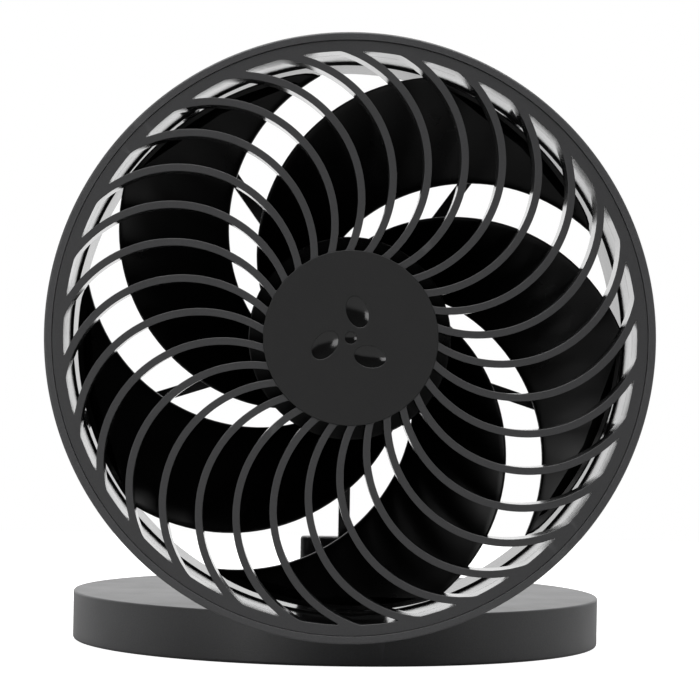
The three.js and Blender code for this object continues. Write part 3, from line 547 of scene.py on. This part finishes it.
def rounded_rectangle(half_width, half_height, radius, centre=(0, 0), steps=8):
    """A closed loop of points round a rectangle with arcs at its corners."""
    x, y = half_width, half_height
    corners = np.array([(-x, -y), (x, -y), (x, y), (-x, y)]) + np.array(centre)
    return rounded_outline(corners, [radius] * 4, steps, hold=0.02 * MM)


def facing_back(flat, y):
    """Flat points (x, z) about the socket's middle, at a depth y."""
    return np.stack([socket_centre[0] + flat[..., 0], y, socket_centre[1] + flat[..., 1]], axis=-1)


corner_less = 0.05 * MM
shell_outside = rounded_rectangle(*socket_half, socket_half[1] - corner_less)
inner_half = (socket_half[0] - shell_wall, socket_half[1] - shell_wall)
shell_inside = rounded_rectangle(*inner_half, inner_half[1] - corner_less)
tongue_outline = rounded_rectangle(3.3 * MM, 0.35 * MM, 0.15 * MM)
tongue_front = socket_high.y - 0.6 * MM
shell, back_wall, tongue = (
    plate(loops, low, high, 0.1 * MM, facing_back, hold=0.02 * MM) for loops, low, high in (
        ([shell_outside, shell_inside], socket_back, socket_high.y),
        ([shell_outside], socket_low.y, socket_back),
        ([tongue_outline], socket_back - 0.3 * MM, tongue_front)))
socket_steel = moulded(
    "socket_steel", (0.42, 0.42, 0.43), (0.7, 0.7, 0.7), (0.22, 0.34), 4000, 0.003 * MM, metallic=1.0)
socket_shell = new_piece("socket_shell", shell[0] + back_wall[0], shell[1] + back_wall[1])
socket_tongue = new_piece("socket_tongue", *tongue)
socket_shell.data.materials.append(socket_steel)
socket_tongue.data.materials.append(component_black)
for part, slot in ((socket_shell, "steel"), (socket_tongue, "component")):
    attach(part, "base")
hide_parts("usb_socket")

# ---------- base cover
# The shallow drum of grey plastic that closes the base. A pocket in its front half takes the neck when
# the fan folds, two ears carry the hinge pins, and the rear wall has holes for socket, light and button.
cover_low, cover_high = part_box("base_cover")
base_r = cover_high.x
base_top = cover_high.z
wall = 2 * MM
cover_inner_r = base_r - wall - 0.3 * MM
ceiling = base_top - wall
plate_top = plate_high.z
neck_low, neck_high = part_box("neck_block")
pin_low, pin_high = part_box("hinge_pin")
hinge_y, hinge_z = (pin_low.y + pin_high.y) / 2, (pin_low.z + pin_high.z) / 2
pin_r = (pin_high.z - pin_low.z) / 2
ear_end = 17.8 * MM
pocket_half = 11.6 * MM
pocket_floor = 11 * MM
pocket_end = -43.7 * MM
knuckle_r = 4 * MM


def block(low, high):
    """A closed box between two corners, as a cutting or joining tool."""
    tool = bpy.data.meshes.new("block")
    made = bmesh.new()
    bmesh.ops.create_cube(made, size=1)
    low, high = Vector(low), Vector(high)
    bmesh.ops.scale(made, vec=high - low, verts=made.verts)
    bmesh.ops.translate(made, vec=(low + high) / 2, verts=made.verts)
    made.to_mesh(tool)
    made.free()
    return bpy.data.objects.new("block", tool)


def rod(radius, start, end, sides=48):
    """A closed cylinder between two points, as a cutting or joining tool."""
    along = Vector(end) - Vector(start)
    made = bmesh.new()
    settings = {"cap_ends": True, "segments": sides, "radius1": radius, "radius2": radius}
    bmesh.ops.create_cone(made, depth=along.length, **settings)
    turn = along.to_track_quat("Z", "Y").to_matrix().to_4x4()
    made.transform(Matrix.Translation((Vector(start) + Vector(end)) / 2) @ turn)
    tool = bpy.data.meshes.new("rod")
    made.to_mesh(tool)
    made.free()
    return bpy.data.objects.new("rod", tool)


def machine(piece, joined=(), cut=(), edge=0.0):
    """Joins and cuts the piece with closed tools, and rounds the sharp edges that are left."""
    for operation, tools in (("UNION", joined), ("DIFFERENCE", cut)):
        for tool in tools:
            bpy.context.collection.objects.link(tool)
            step = piece.modifiers.new(operation.lower(), "BOOLEAN")
            step.operation = operation
            step.object = tool
    if edge:
        softening = piece.modifiers.new("edge", "BEVEL")
        softening.width = edge
        softening.segments = 3
        softening.limit_method = "ANGLE"
        softening.angle_limit = np.radians(38)
        softening.harden_normals = True
    finished = piece.evaluated_get(bpy.context.evaluated_depsgraph_get())
    piece.data = bpy.data.meshes.new_from_object(finished)
    piece.modifiers.clear()
    for tool in (*joined, *cut):
        bpy.data.objects.remove(tool)


cover_profile = rounded_outline(
    [(0, ceiling), (cover_inner_r, ceiling), (cover_inner_r, cover_low.z), (base_r, cover_low.z),
     (base_r, base_top), (0, base_top)],
    np.array([0, 0.6, 0.2, 0.8, 0.5, 0]) * MM, closed=False, steps=7,
)
base_cover = new_piece("base_drum", [(turned_z(cover_profile, 240), True, False)])
tub_wall = 1.6 * MM
tub_half = pocket_half + tub_wall
tub_front = -base_r + wall
knuckle_tub_floor, knuckle_pocket_floor, neck_pocket_floor = 4.1 * MM, 5.6 * MM, 7.4 * MM
knuckle_tub_rear, pin_way = hinge_y + 6 * MM, 20 * MM
play = 0.3 * MM
knuckle_room = knuckle_r + 0.4 * MM
button_low, button_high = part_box("power_button")
button_x, button_z = (button_low.x + button_high.x) / 2, (button_low.z + button_high.z) / 2
button_r = 2.4 * MM
flange_front, flange_back = 67.2 * MM, 68.3 * MM
button_flange_r, flange_room = button_r + 0.6 * MM, 65.6 * MM
boss_r, pilot_r, pilot_top = 3.2 * MM, 1.3 * MM, 10 * MM
light_hole_r = 1.3 * MM
in_rear_wall, past = 68 * MM, 80 * MM
above = base_top + 5 * MM
into_ceiling = ceiling + 0.5 * MM
cover_joined = [
    block((-tub_half, tub_front, pocket_floor - tub_wall), (tub_half, pocket_end + tub_wall, into_ceiling)),
    block((-tub_half, tub_front, knuckle_tub_floor), (tub_half, knuckle_tub_rear, into_ceiling)),
    block((-ear_end, hinge_y - knuckle_r, hinge_z - knuckle_r), (ear_end, hinge_y + knuckle_r, into_ceiling)),
]
for place in screw_places:
    cover_joined.append(rod(boss_r, (place.x, place.y, plate_top + play), (place.x, place.y, into_ceiling)))
cover_cut = [
    block((-pocket_half, -past, pocket_floor), (pocket_half, pocket_end, above)),
    block((-pocket_half, hinge_y - knuckle_room, knuckle_pocket_floor),
          (pocket_half, hinge_y + knuckle_room, above)),
    block((-pocket_half, -past, neck_pocket_floor), (pocket_half, hinge_y - knuckle_r, above)),
    rod(pin_r + play, (-pin_way, hinge_y, hinge_z), (pin_way, hinge_y, hinge_z)),
    rod(button_r + play, (button_x, flange_front, button_z), (button_x, past, button_z)),
    rod(button_flange_r + play, (button_x, flange_room, button_z), (button_x, flange_back + play, button_z)),
    rod(light_hole_r, (pipe_axis[0], in_rear_wall, pipe_axis[1]), (pipe_axis[0], past, pipe_axis[1])),
]
socket_hole = rounded_rectangle(4.8 * MM, 1.9 * MM, 1.8 * MM)
socket_cutter = plate([socket_hole], in_rear_wall, past, 0.01 * MM, facing_back)
cover_cut.append(new_piece("socket_cutter", *socket_cutter))
bpy.context.collection.objects.unlink(cover_cut[-1])
for place in screw_places:
    cover_cut.append(rod(pilot_r, (place.x, place.y, 0), (place.x, place.y, pilot_top), 24))
machine(base_cover, cover_joined, cover_cut, 0.3 * MM)
grey_plastic = moulded(
    "grey_plastic", (0.055, 0.055, 0.057), (0.09, 0.09, 0.092), (0.42, 0.48), 2600, 0.025 * MM)
base_cover.data.materials.append(grey_plastic)
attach(base_cover, "base")
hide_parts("base_cover")

# ---------- power button
# A black plunger with a dished face that slides in the rear wall and presses the switch. A flange
# behind the wall keeps it from falling out.
dish = np.linspace(0, 1, 9)
dish_depth = 0.35 * MM
dish_r = button_r - 0.45 * MM
plunger_r = 1.2 * MM
dished_face = np.stack([dish_r * (1 - dish), button_high.y - dish_depth * (1 - (1 - dish) ** 2)], axis=-1)
button_body = rounded_outline(
    [(0, button_low.y), (plunger_r, button_low.y), (plunger_r, flange_front),
     (button_flange_r, flange_front), (button_flange_r, flange_back), (button_r, flange_back),
     (button_r, button_high.y), (dish_r, button_high.y)],
    np.array([0, 0.2, 0.2, 0.15, 0.15, 0.1, 0.3, 0]) * MM, closed=False, hold=0.05 * MM,
)
button_profile = np.vstack([button_body, dished_face[1:]])
button = new_piece("button_plunger", [(turned_y(button_profile, 48, (button_x, button_z)), True, False)])
button_black = moulded(
    "button_plastic", (0.012, 0.012, 0.013), (0.05, 0.05, 0.05), (0.25, 0.38), 4000, 0.008 * MM)
button.data.materials.append(button_black)
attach(button, "power_button")
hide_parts("power_button")

# ---------- hinge pins and washers
# A ground steel pin on the left and a hollow one on the right, which lets the motor's lead through. Two
# spring washers squeeze the knuckle and hold the head at any tilt.
ground_steel = moulded(
    "ground_steel", (0.6, 0.6, 0.61), (0.8, 0.8, 0.8), (0.16, 0.26), 7000, 0.001 * MM, metallic=1.0)
for node in ("hinge_pin", "hinge_tube", "friction_washer_left", "friction_washer_right"):
    wear_finish(node, ground_steel)

# ---------- neck block and its screws
# The short grey neck behind the head: a rounded column with a knuckle on the hinge axis. A groove in its
# front face hides the motor's lead, and two screws hold it to the rear frame.
neck_half = (neck_high.x - neck_low.x) / 2
head_rear_y = ring_high.y
neck_front = head_rear_y + 0.3 * MM
neck_rear = -69.3 * MM
neck_bottom = 9 * MM
knuckle_half, knuckle_trim = 10.4 * MM, 12 * MM
neck_outline = rounded_rectangle(
    neck_half, (neck_rear - neck_front) / 2, 2.2 * MM, (0, (neck_front + neck_rear) / 2), steps=10)
neck = new_piece("neck_column", *plate([neck_outline], neck_bottom, neck_high.z, 0.7 * MM, lying))
neck_screws = ["neck_screw_left", "neck_screw_right"]
neck_screw_places = [(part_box(name)[0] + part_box(name)[1]) / 2 for name in neck_screws]
groove_side, groove_rear = 1.3 * MM, neck_front + 2.8 * MM
groove_start = (-groove_side, neck_front - 1 * MM, hinge_z - 0.9 * MM)
groove_foot_top = hinge_z + 4 * MM
screw_way_end, head_seat_r, head_seat_y = -60 * MM, 2 * MM, -71 * MM
neck_cut = [
    rod(pin_r + play, (-past, hinge_y, hinge_z), (past, hinge_y, hinge_z)),
    rod(knuckle_room, (knuckle_half, hinge_y, hinge_z), (knuckle_trim, hinge_y, hinge_z)),
    rod(knuckle_room, (-knuckle_trim, hinge_y, hinge_z), (-knuckle_half, hinge_y, hinge_z)),
    block(groove_start, (groove_side, groove_rear, neck_high.z + 1 * MM)),
    block(groove_start, (groove_side, hinge_y, groove_foot_top)),
]
for x, _, z in neck_screw_places:
    neck_cut.append(rod(pilot_r, (x, -past, z), (x, screw_way_end, z), 24))
    neck_cut.append(rod(head_seat_r, (x, head_seat_y, z), (x, screw_way_end, z), 32))
knuckle = rod(knuckle_r, (-knuckle_half, hinge_y, hinge_z), (knuckle_half, hinge_y, hinge_z), 64)
machine(neck, [knuckle], neck_cut, 0.2 * MM)
neck.data.materials.append(grey_plastic)
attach(neck, "head")
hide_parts("neck_block")
for name in neck_screws:
    fit_screw(name, "head", shank_r=1 * MM, head_height=1.3 * MM, key_r=0.9 * MM, laid=True)

# ---------- leads
# Two thin black leads in soft vinyl jackets. The motor's runs down the lowest strut and the neck, and
# meets the base's inside the hollow hinge pin.
lead_jacket = moulded(
    "lead_jacket", (0.014, 0.014, 0.015), (0.03, 0.03, 0.03), (0.38, 0.55), 2200, 0.015 * MM)
for node in ("motor_lead", "base_lead"):
    wear_finish(node, lead_jacket)

# ---------- rear frame
# One moulding behind the impeller: a stepped skirt, five radial struts that flare into it, and the cup
# that carries the motor. The lowest strut has a channel for the motor's lead.
head_depth = ring_high.y - ring_low.y
skirt_r = 69.7 * MM
skirt_depth = 27.5 * MM
flange_r = 72.9 * MM
flange = 2 * MM


def turned_head(profile, turns=240):
    """A profile of points (radius r, depth d) turned about the head's axis: (r sin a, d, r cos a)."""
    profile = np.asarray(profile) + np.array([0, front_y])
    return turned_y(profile, turns, (0, axis_z))


def face_on(flat, depth):
    """Flat points (across, up) about the head's axis, at a depth behind its front."""
    return np.stack([flat[..., 0], front_y + depth, axis_z + flat[..., 1]], axis=-1)


def clockwise(flat, angle):
    """Flat points turned clockwise about the head's axis, as seen from the front."""
    c, s = np.cos(angle), np.sin(angle)
    return flat @ np.array([[c, -s], [s, c]])


def closed_ends(grid):
    """The grid with one more row at each end, drawn together on that end's middle."""
    start, end = grid[:1].mean(axis=1, keepdims=True), grid[-1:].mean(axis=1, keepdims=True)
    row = (1, grid.shape[1], 3)
    return np.concatenate([np.broadcast_to(start, row), grid, np.broadcast_to(end, row)])


skirt_profile = rounded_outline(
    [(skirt_r, skirt_depth), (flange_r, skirt_depth), (flange_r, skirt_depth + flange),
     (skirt_r + flange, skirt_depth + flange), (skirt_r + flange, head_depth - flange),
     (flange_r, head_depth - flange), (flange_r, head_depth), (skirt_r - 0.8 * MM, head_depth)],
    np.array([0.3, 0.2, 0.2, 0.3, 0.3, 0.2, 0.3, 0.5]) * MM,
)
cup_r = 24.6 * MM
cup_front = 33 * MM
cup_floor = head_depth - 1.5 * MM
tube_r, tube_bore, tube_front = 6.3 * MM, 4.3 * MM, 19.7 * MM
cup_inner_r = cup_r - 1.6 * MM
cup_profile = rounded_outline(
    [(0, cup_floor), (tube_bore, cup_floor), (tube_bore, tube_front), (tube_r, tube_front),
     (tube_r, cup_floor), (cup_inner_r, cup_floor), (cup_inner_r, cup_front), (cup_r, cup_front),
     (cup_r, head_depth), (0, head_depth)],
    np.array([0, 0.1, 0.3, 0.3, 0.5, 0.4, 0.3, 0.3, 1, 0]) * MM, closed=False,
)
strut_half, strut_start_r, strut_end_r = 1.45 * MM, cup_r - 0.8 * MM, skirt_r + 1 * MM
strut_front, strut_rear = 35 * MM, head_depth - 0.5 * MM
strut_outline = rounded_outline(
    [(-strut_half, strut_front), (strut_half, strut_front),
     (strut_half, strut_rear), (-strut_half, strut_rear)],
    [0.45 * MM] * 4, hold=0.08 * MM,
)


def strut(angle):
    """A bar from the cup to the skirt. Its half width is w (1 + 0.8 t^12), with t from -1 at the cup to 1
    at the skirt, so both its roots flare."""
    t = np.linspace(-1, 1, 41)[:, None]
    radius = strut_start_r * (1 - t) / 2 + strut_end_r * (1 + t) / 2
    across = strut_outline[None, :, 0] * (1 + 0.8 * t**12)
    bar = np.stack([across, np.broadcast_to(radius, across.shape)], axis=-1)
    depth = np.broadcast_to(strut_outline[None, :, 1], across.shape)
    return closed_ends(face_on(clockwise(bar, angle), depth))


strut_angles = np.pi + np.arange(5) * 2 * np.pi / 5
rear_frame = new_piece("rear_moulding", [(turned_head(skirt_profile), True, True)])
frame_joined = [new_piece("cup", [(turned_head(cup_profile, 120), True, False)])]
frame_joined += [new_piece("strut", [(strut(angle), False, True)]) for angle in strut_angles]
for tool in frame_joined:
    bpy.context.collection.objects.unlink(tool)
screw_ways = []
screw_post_r, screw_post_front = 2 * MM, front_y + skirt_depth + 6 * MM
behind_head = head_rear_y + 1 * MM
for x, _, z in neck_screw_places:
    frame_joined.append(rod(screw_post_r, (x, screw_post_front, z), (x, head_rear_y, z), 32))
    screw_ways.append(rod(pilot_r, (x, screw_post_front + 1 * MM, z), (x, behind_head, z), 24))
channel_half, channel_floor = 1.05 * MM, head_depth - 2.5 * MM
channel_top = axis_z - cup_r + 7 * MM
lead_channel = block(
    (-channel_half, front_y + channel_floor, axis_z - past),
    (channel_half, behind_head, channel_top),
)
machine(rear_frame, frame_joined, [*screw_ways, lead_channel])
duct_grey = moulded(
    "duct_grey", (0.04, 0.04, 0.041), (0.06, 0.06, 0.06), (0.15, 0.2), 900, 0.0015 * MM, specular=0.22)
rear_frame.data.materials.append(duct_grey)
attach(rear_frame, "head")
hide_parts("rear_frame")

# ---------- motor: fixed parts
# The motor's fixed half inside the hub: two ball bearings in the tube, a laminated stator with four
# copper coils, and the ring-shaped driver board.
laminated_steel = moulded(
    "laminated_steel", (0.36, 0.36, 0.37), (0.6, 0.6, 0.6), (0.35, 0.5), 5200, 0.01 * MM, metallic=1.0)
copper_wire, tree, shader = new_finish("copper_wire")
place = add_node(tree, "ShaderNodeTexCoord")
windings = add_node(tree, "ShaderNodeTexWave", {
    "Vector": place.outputs["Object"], "Scale": 640, "Distortion": 0.6,
}, bands_direction="DIAGONAL")
enamel = add_node(tree, "ShaderNodeMapRange", {
    "Value": windings.outputs["Fac"], "To Min": 0.45, "To Max": 0.25,
})
wire_bump = add_node(tree, "ShaderNodeBump", {"Height": windings.outputs["Fac"], "Distance": 0.12 * MM})
# The copper's colour follows the bands of the bumped turns: darker in the grooves between turns as painted
# shade, and brighter on their crests as a painted highlight.
wire(tree, shader, {
    "Base Color": mix_colours(tree, windings.outputs["Fac"], (0.18, 0.05, 0.02, 1), (0.62, 0.24, 0.1, 1)),
    "Roughness": enamel.outputs["Result"], "Normal": wire_bump.outputs["Normal"], "Metallic": 1.0,
})
for node in ("bearing_front", "bearing_rear"):
    wear_finish(node, ground_steel)
wear_finish("stator_core", laminated_steel)
for number in range(1, 5):
    wear_finish(f"stator_coil_{number}", copper_wire)
wear_finish("motor_board", board_green)

# ---------- motor: turning parts
# The half that spins with the impeller: a pressed steel yoke with a ring magnet glued inside, and a
# ground shaft in a brass bush, held in its bearings by a clip.
magnet_grey = moulded(
    "magnet_grey", (0.035, 0.035, 0.037), (0.12, 0.12, 0.12), (0.5, 0.7), 3800, 0.03 * MM, metallic=0.3)
bush_brass = moulded(
    "bush_brass", (0.66, 0.44, 0.17), (0.8, 0.62, 0.32), (0.25, 0.38), 6000, 0.003 * MM, metallic=1.0)
for node, finish, slot in (
    ("rotor_yoke", laminated_steel, "steel"), ("magnet_ring", magnet_grey, "magnet"),
    ("shaft_bush", bush_brass, "brass"), ("rotor_shaft", ground_steel, "steel"),
    ("retaining_clip", ground_steel, "steel"),
):
    wear_finish(node, finish)

# ---------- impeller
# Five sickle blades and a hub cap moulded in one piece of black plastic. Both edges of a blade sweep
# clockwise outwards, and the leading edge lies deeper in the duct.
hub_r = 25.3 * MM
hub_front, hub_rear = 11.5 * MM, 31 * MM
hub_wall, hub_ceiling = 1.7 * MM, hub_front + 2.2 * MM
hub_boss_r, hub_boss_bore, hub_boss_rear = 6 * MM, 4.3 * MM, 19 * MM
blade_count = 5
blade_start, blade_root, blade_tip = hub_r - 0.8 * MM, 28 * MM, 68.3 * MM
blade_span = 39.6 * MM
blade_front, blade_rear = 13.2 * MM, 26 * MM
blade_thickness = 1.6 * MM
blade_camber = 0.8 * MM
blade_edge = 1.3 * MM
trailing_edge, leading_edge = (33.6, -53.6, 90.4, -55.9), (28.6, -43.5, 79.9, 1.0)
tip_r, tip_drop, tip_corner = 0.5 * MM, 0.9 * MM, 0.88
hub_profile = rounded_outline(
    [(0, hub_front), (hub_r, hub_front), (hub_r, hub_rear), (hub_r - hub_wall, hub_rear),
     (hub_r - hub_wall, hub_ceiling), (hub_boss_r, hub_ceiling), (hub_boss_r, hub_boss_rear),
     (hub_boss_bore, hub_boss_rear), (hub_boss_bore, hub_ceiling), (0, hub_ceiling)],
    np.array([0, 0.4, 0.4, 0.3, 0.8, 0.3, 0.2, 0.2, 0.2, 0]) * MM, steps=8, closed=False,
)


def blade(turn):
    """A swept plate. The angle runs from the trailing edge to the leading edge, each a cubic of s, the
    share of the way from root to tip. The depth runs from front to rear, with a sine for the camber. Each
    section is flat-sided with half ellipses for edges, and the last rows draw it together into an
    elliptical tip, whose leading corner drops with the square of the way past tip_corner."""
    on_flat, on_edge, on_span, on_tip = 24, 9, 40, 7
    edge = np.linspace(-np.pi / 2, np.pi / 2, on_edge)
    flats, still = np.linspace(0, 1, on_flat), np.zeros(on_flat)
    share = np.concatenate([flats, np.ones(on_edge), flats[::-1], np.zeros(on_edge)])
    beyond = np.concatenate([still, np.cos(edge), still, -np.cos(edge)])
    side = np.concatenate([still - 1, np.sin(edge), still + 1, -np.sin(edge)])
    closing = np.linspace(0, np.pi / 2, on_tip + 1)[1:]
    out = np.concatenate([np.linspace(0, 1, on_span), np.ones(on_tip)])[:, None]
    past_end = np.concatenate([np.zeros(on_span), np.sin(closing)])[:, None] * tip_r
    slim = np.concatenate([np.ones(on_span), np.cos(closing)])[:, None]
    drop = tip_drop * (np.maximum(0, share - tip_corner) / (1 - tip_corner)) ** 2
    radius = blade_start * (1 - out) + (blade_tip - tip_r - drop) * out + past_end
    s = (radius - blade_root) / blade_span
    trailing, leading = np.radians(np.polyval(trailing_edge, s)), np.radians(np.polyval(leading_edge, s))
    margin = blade_edge / (radius * (leading - trailing))
    across = margin + share * (1 - 2 * margin) + beyond * margin * slim
    angle = trailing + (leading - trailing) * across + turn
    depth = blade_front + (blade_rear - blade_front) * across + blade_camber * np.sin(np.pi * across)
    depth = depth + side * slim * blade_thickness / 2
    return closed_ends(face_on(np.stack([radius * np.sin(angle), radius * np.cos(angle)], axis=-1), depth))


blade_black = moulded(
    "blade_black", (0.002, 0.002, 0.0021), (0.015, 0.015, 0.015), (0.26, 0.34), 1500, 0.006 * MM,
    specular=0.24)
wheel_grids = [(turned_head(hub_profile, 160), True, False)]
wheel_grids += [(blade(number * 2 * np.pi / blade_count), False, True) for number in range(blade_count)]
impeller = new_piece("blade_wheel", wheel_grids)
impeller.data.materials.append(blade_black)
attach(impeller, "impeller")
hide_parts("impeller")

# ---------- duct liner
# The smooth inner wall of the duct, a thin ring in the same grey but polished, so it mirrors the light
# that comes in from behind the fan.
liner_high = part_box("duct_liner")[1]
grille_low, grille_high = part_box("front_grille")
duct_r = 70.3 * MM
liner_outer_r = liner_high.x
liner_front, liner_rear = grille_high.y + 0.03 * MM - front_y, liner_high.y - front_y
liner_profile = rounded_outline(
    [(duct_r, liner_front), (liner_outer_r, liner_front), (liner_outer_r, liner_rear), (duct_r, liner_rear)],
    np.array([0.05, 0.2, 0.2, 0.2]) * MM, hold=0.04 * MM,
)
liner = new_piece("polished_liner", [(turned_head(liner_profile), True, True)])
liner.data.materials.append(duct_grey)
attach(liner, "head")
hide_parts("duct_liner")

# ---------- outer ring
# The band round the head: one moulding in matt grey plastic with softly rounded edges. Grille, liner and
# rear frame snap into it.
head_r = ring_high.x
ring_wall = 1.9 * MM
ring_profile = rounded_outline(
    [(head_r - ring_wall, 0), (head_r, 0), (head_r, head_depth), (head_r - ring_wall, head_depth)],
    np.array([0.08, 0.5, 0.8, 0.3]) * MM, hold=0.06 * MM,
)
outer_ring = new_piece("outer_band", [(turned_head(ring_profile, 300), True, True)])
outer_ring.data.materials.append(grey_plastic)
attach(outer_ring, "head")
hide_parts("outer_ring")

# ---------- front grille
# One flat moulding: a rim, a hub ring and thirty ribs between them. Every rib is an arc of the same
# circle, ten millimetres deep, and the slots between the ribs have soft corners and thin lips.
grille_r = grille_high.x
grille_front, grille_rear = grille_low.y - front_y, grille_high.y - front_y
rib_count = 30
rib_pitch = 2 * np.pi / rib_count
rib_width = 1.8 * MM
rib_arc_r = 30 * MM
rib_centre_r = 43.9 * MM
rib_turn = np.radians(-39.5)
badge_r = 21.5 * MM


def on_rib(arc_r, radius, turn):
    """Where a circle of radius a about a rib's centre crosses the radius r. By the law of cosines that
    lies acos((r^2 + c^2 - a^2) / 2rc) clockwise of the centre, which is c from the axis."""
    swing = np.arccos((radius**2 + rib_centre_r**2 - arc_r**2) / (2 * radius * rib_centre_r))
    angle = rib_turn + turn + swing
    return np.stack([radius * np.sin(angle), radius * np.cos(angle)], axis=-1)


def on_circle(radius, start, end, cut_start, cut_end, count):
    """Points on a circle from one of its points to another, with a length left out at each end."""
    first, last = np.arctan2(*start), np.arctan2(*end)
    last = first + (last - first + np.pi) % (2 * np.pi) - np.pi
    way = np.sign(last - first)
    angle = np.linspace(first + way * cut_start / radius, last - way * cut_end / radius, count)
    return np.stack([radius * np.sin(angle), radius * np.cos(angle)], axis=-1)


def soft_corner(start, corner, end, count=7):
    """The inner points of a quadratic curve from start to end that leans towards the corner."""
    t = np.linspace(0, 1, count + 2)[1:-1, None]
    return (1 - t) ** 2 * start + 2 * t * (1 - t) * corner + t**2 * end


wide, narrow = rib_arc_r + rib_width / 2, rib_arc_r - rib_width / 2
outwards = np.linspace(badge_r + 0.4 * MM, duct_r - 0.5 * MM, 46)
near_side = on_rib(wide, outwards, 0)
far_side = on_rib(narrow, outwards[::-1], rib_pitch)
outer_near, outer_far = on_rib(wide, duct_r, 0), on_rib(narrow, duct_r, rib_pitch)
inner_far, inner_near = on_rib(narrow, badge_r, rib_pitch), on_rib(wide, badge_r, 0)
outer_end = on_circle(duct_r, outer_near, outer_far, 0.9 * MM, 0.5 * MM, 18)
inner_end = on_circle(badge_r, inner_far, inner_near, 0.4 * MM, 0.4 * MM, 6)
slot_outline = np.vstack([
    near_side, soft_corner(near_side[-1], outer_near, outer_end[0]),
    outer_end, soft_corner(outer_end[-1], outer_far, far_side[0]),
    far_side, soft_corner(far_side[-1], inner_far, inner_end[0]),
    inner_end, soft_corner(inner_end[-1], inner_near, near_side[0]),
])
slots = [clockwise(slot_outline, number * rib_pitch) for number in range(rib_count)]
seat_lip_r, seat_depth = badge_r - 1.5 * MM, 2.2 * MM
grille_loops = [circle(grille_r, 360), circle(seat_lip_r, 120), *slots]
grille = new_piece("grille", *plate(grille_loops, grille_front, grille_rear, 0.15 * MM, face_on))
badge_seat = (0, front_y + grille_front + seat_depth, axis_z)
machine(grille, cut=[rod(badge_r, (0, front_y - 1 * MM, axis_z), badge_seat, 200)])
rib_grey = moulded("rib_grey", (0.04, 0.04, 0.0415), (0.08, 0.08, 0.082), (0.44, 0.5), 2600, 0.025 * MM)
grille.data.materials.append(rib_grey)
grille.data.materials.append(duct_grey)
wall_slope = 0.3


def second_finish(piece, value, chosen):
    """The faces whose y part of a value, their normal or their centre, is chosen get the second finish."""
    values = np.empty(len(piece.data.polygons) * 3)
    piece.data.polygons.foreach_get(value, values)
    piece.data.polygons.foreach_set("material_index", chosen(values[1::3]).astype(np.int32))


second_finish(grille, "normal", lambda y: np.abs(y) < wall_slope)
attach(grille, "head")
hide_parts("front_grille")

# ---------- hub badge
# A darker, finely grained disc pressed into the seat in the grille's hub ring. A three-petal fan sign is
# sunk into its face, with a gloss black floor.
badge_face, badge_back = 0.05 * MM, 2.35 * MM
petal_size, petal_place = np.array([2.7, 4.0]) * MM, np.array([1.5, 6.4]) * MM
petal = clockwise(circle(1, 48) * petal_size, np.radians(-20)) + petal_place
sign = [clockwise(petal, number * 2 * np.pi / 3) for number in range(3)] + [circle(1.5 * MM, 32)]
sign_floor = badge_face + 0.5 * MM
badge_rim = circle(badge_r - 0.03 * MM, 200)
badge = new_piece("hub_badge", *plate(
    [badge_rim], badge_face, badge_back, 0.12 * MM, face_on, pits=sign, pit_floor=sign_floor))
badge_grey = moulded(
    "badge_grey", (0.0055, 0.0055, 0.0057), (0.02, 0.02, 0.02), (0.55, 0.68), 2200, 0.03 * MM)
sign_black = moulded(
    "sign_black", (0.004, 0.004, 0.004), (0.01, 0.01, 0.01), (0.12, 0.2), 3000, 0.003 * MM)
badge.data.materials.append(badge_grey)
badge.data.materials.append(sign_black)
second_finish(badge, "center", lambda y: np.isclose(y - front_y, sign_floor, atol=0.01 * MM))
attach(badge, "head")
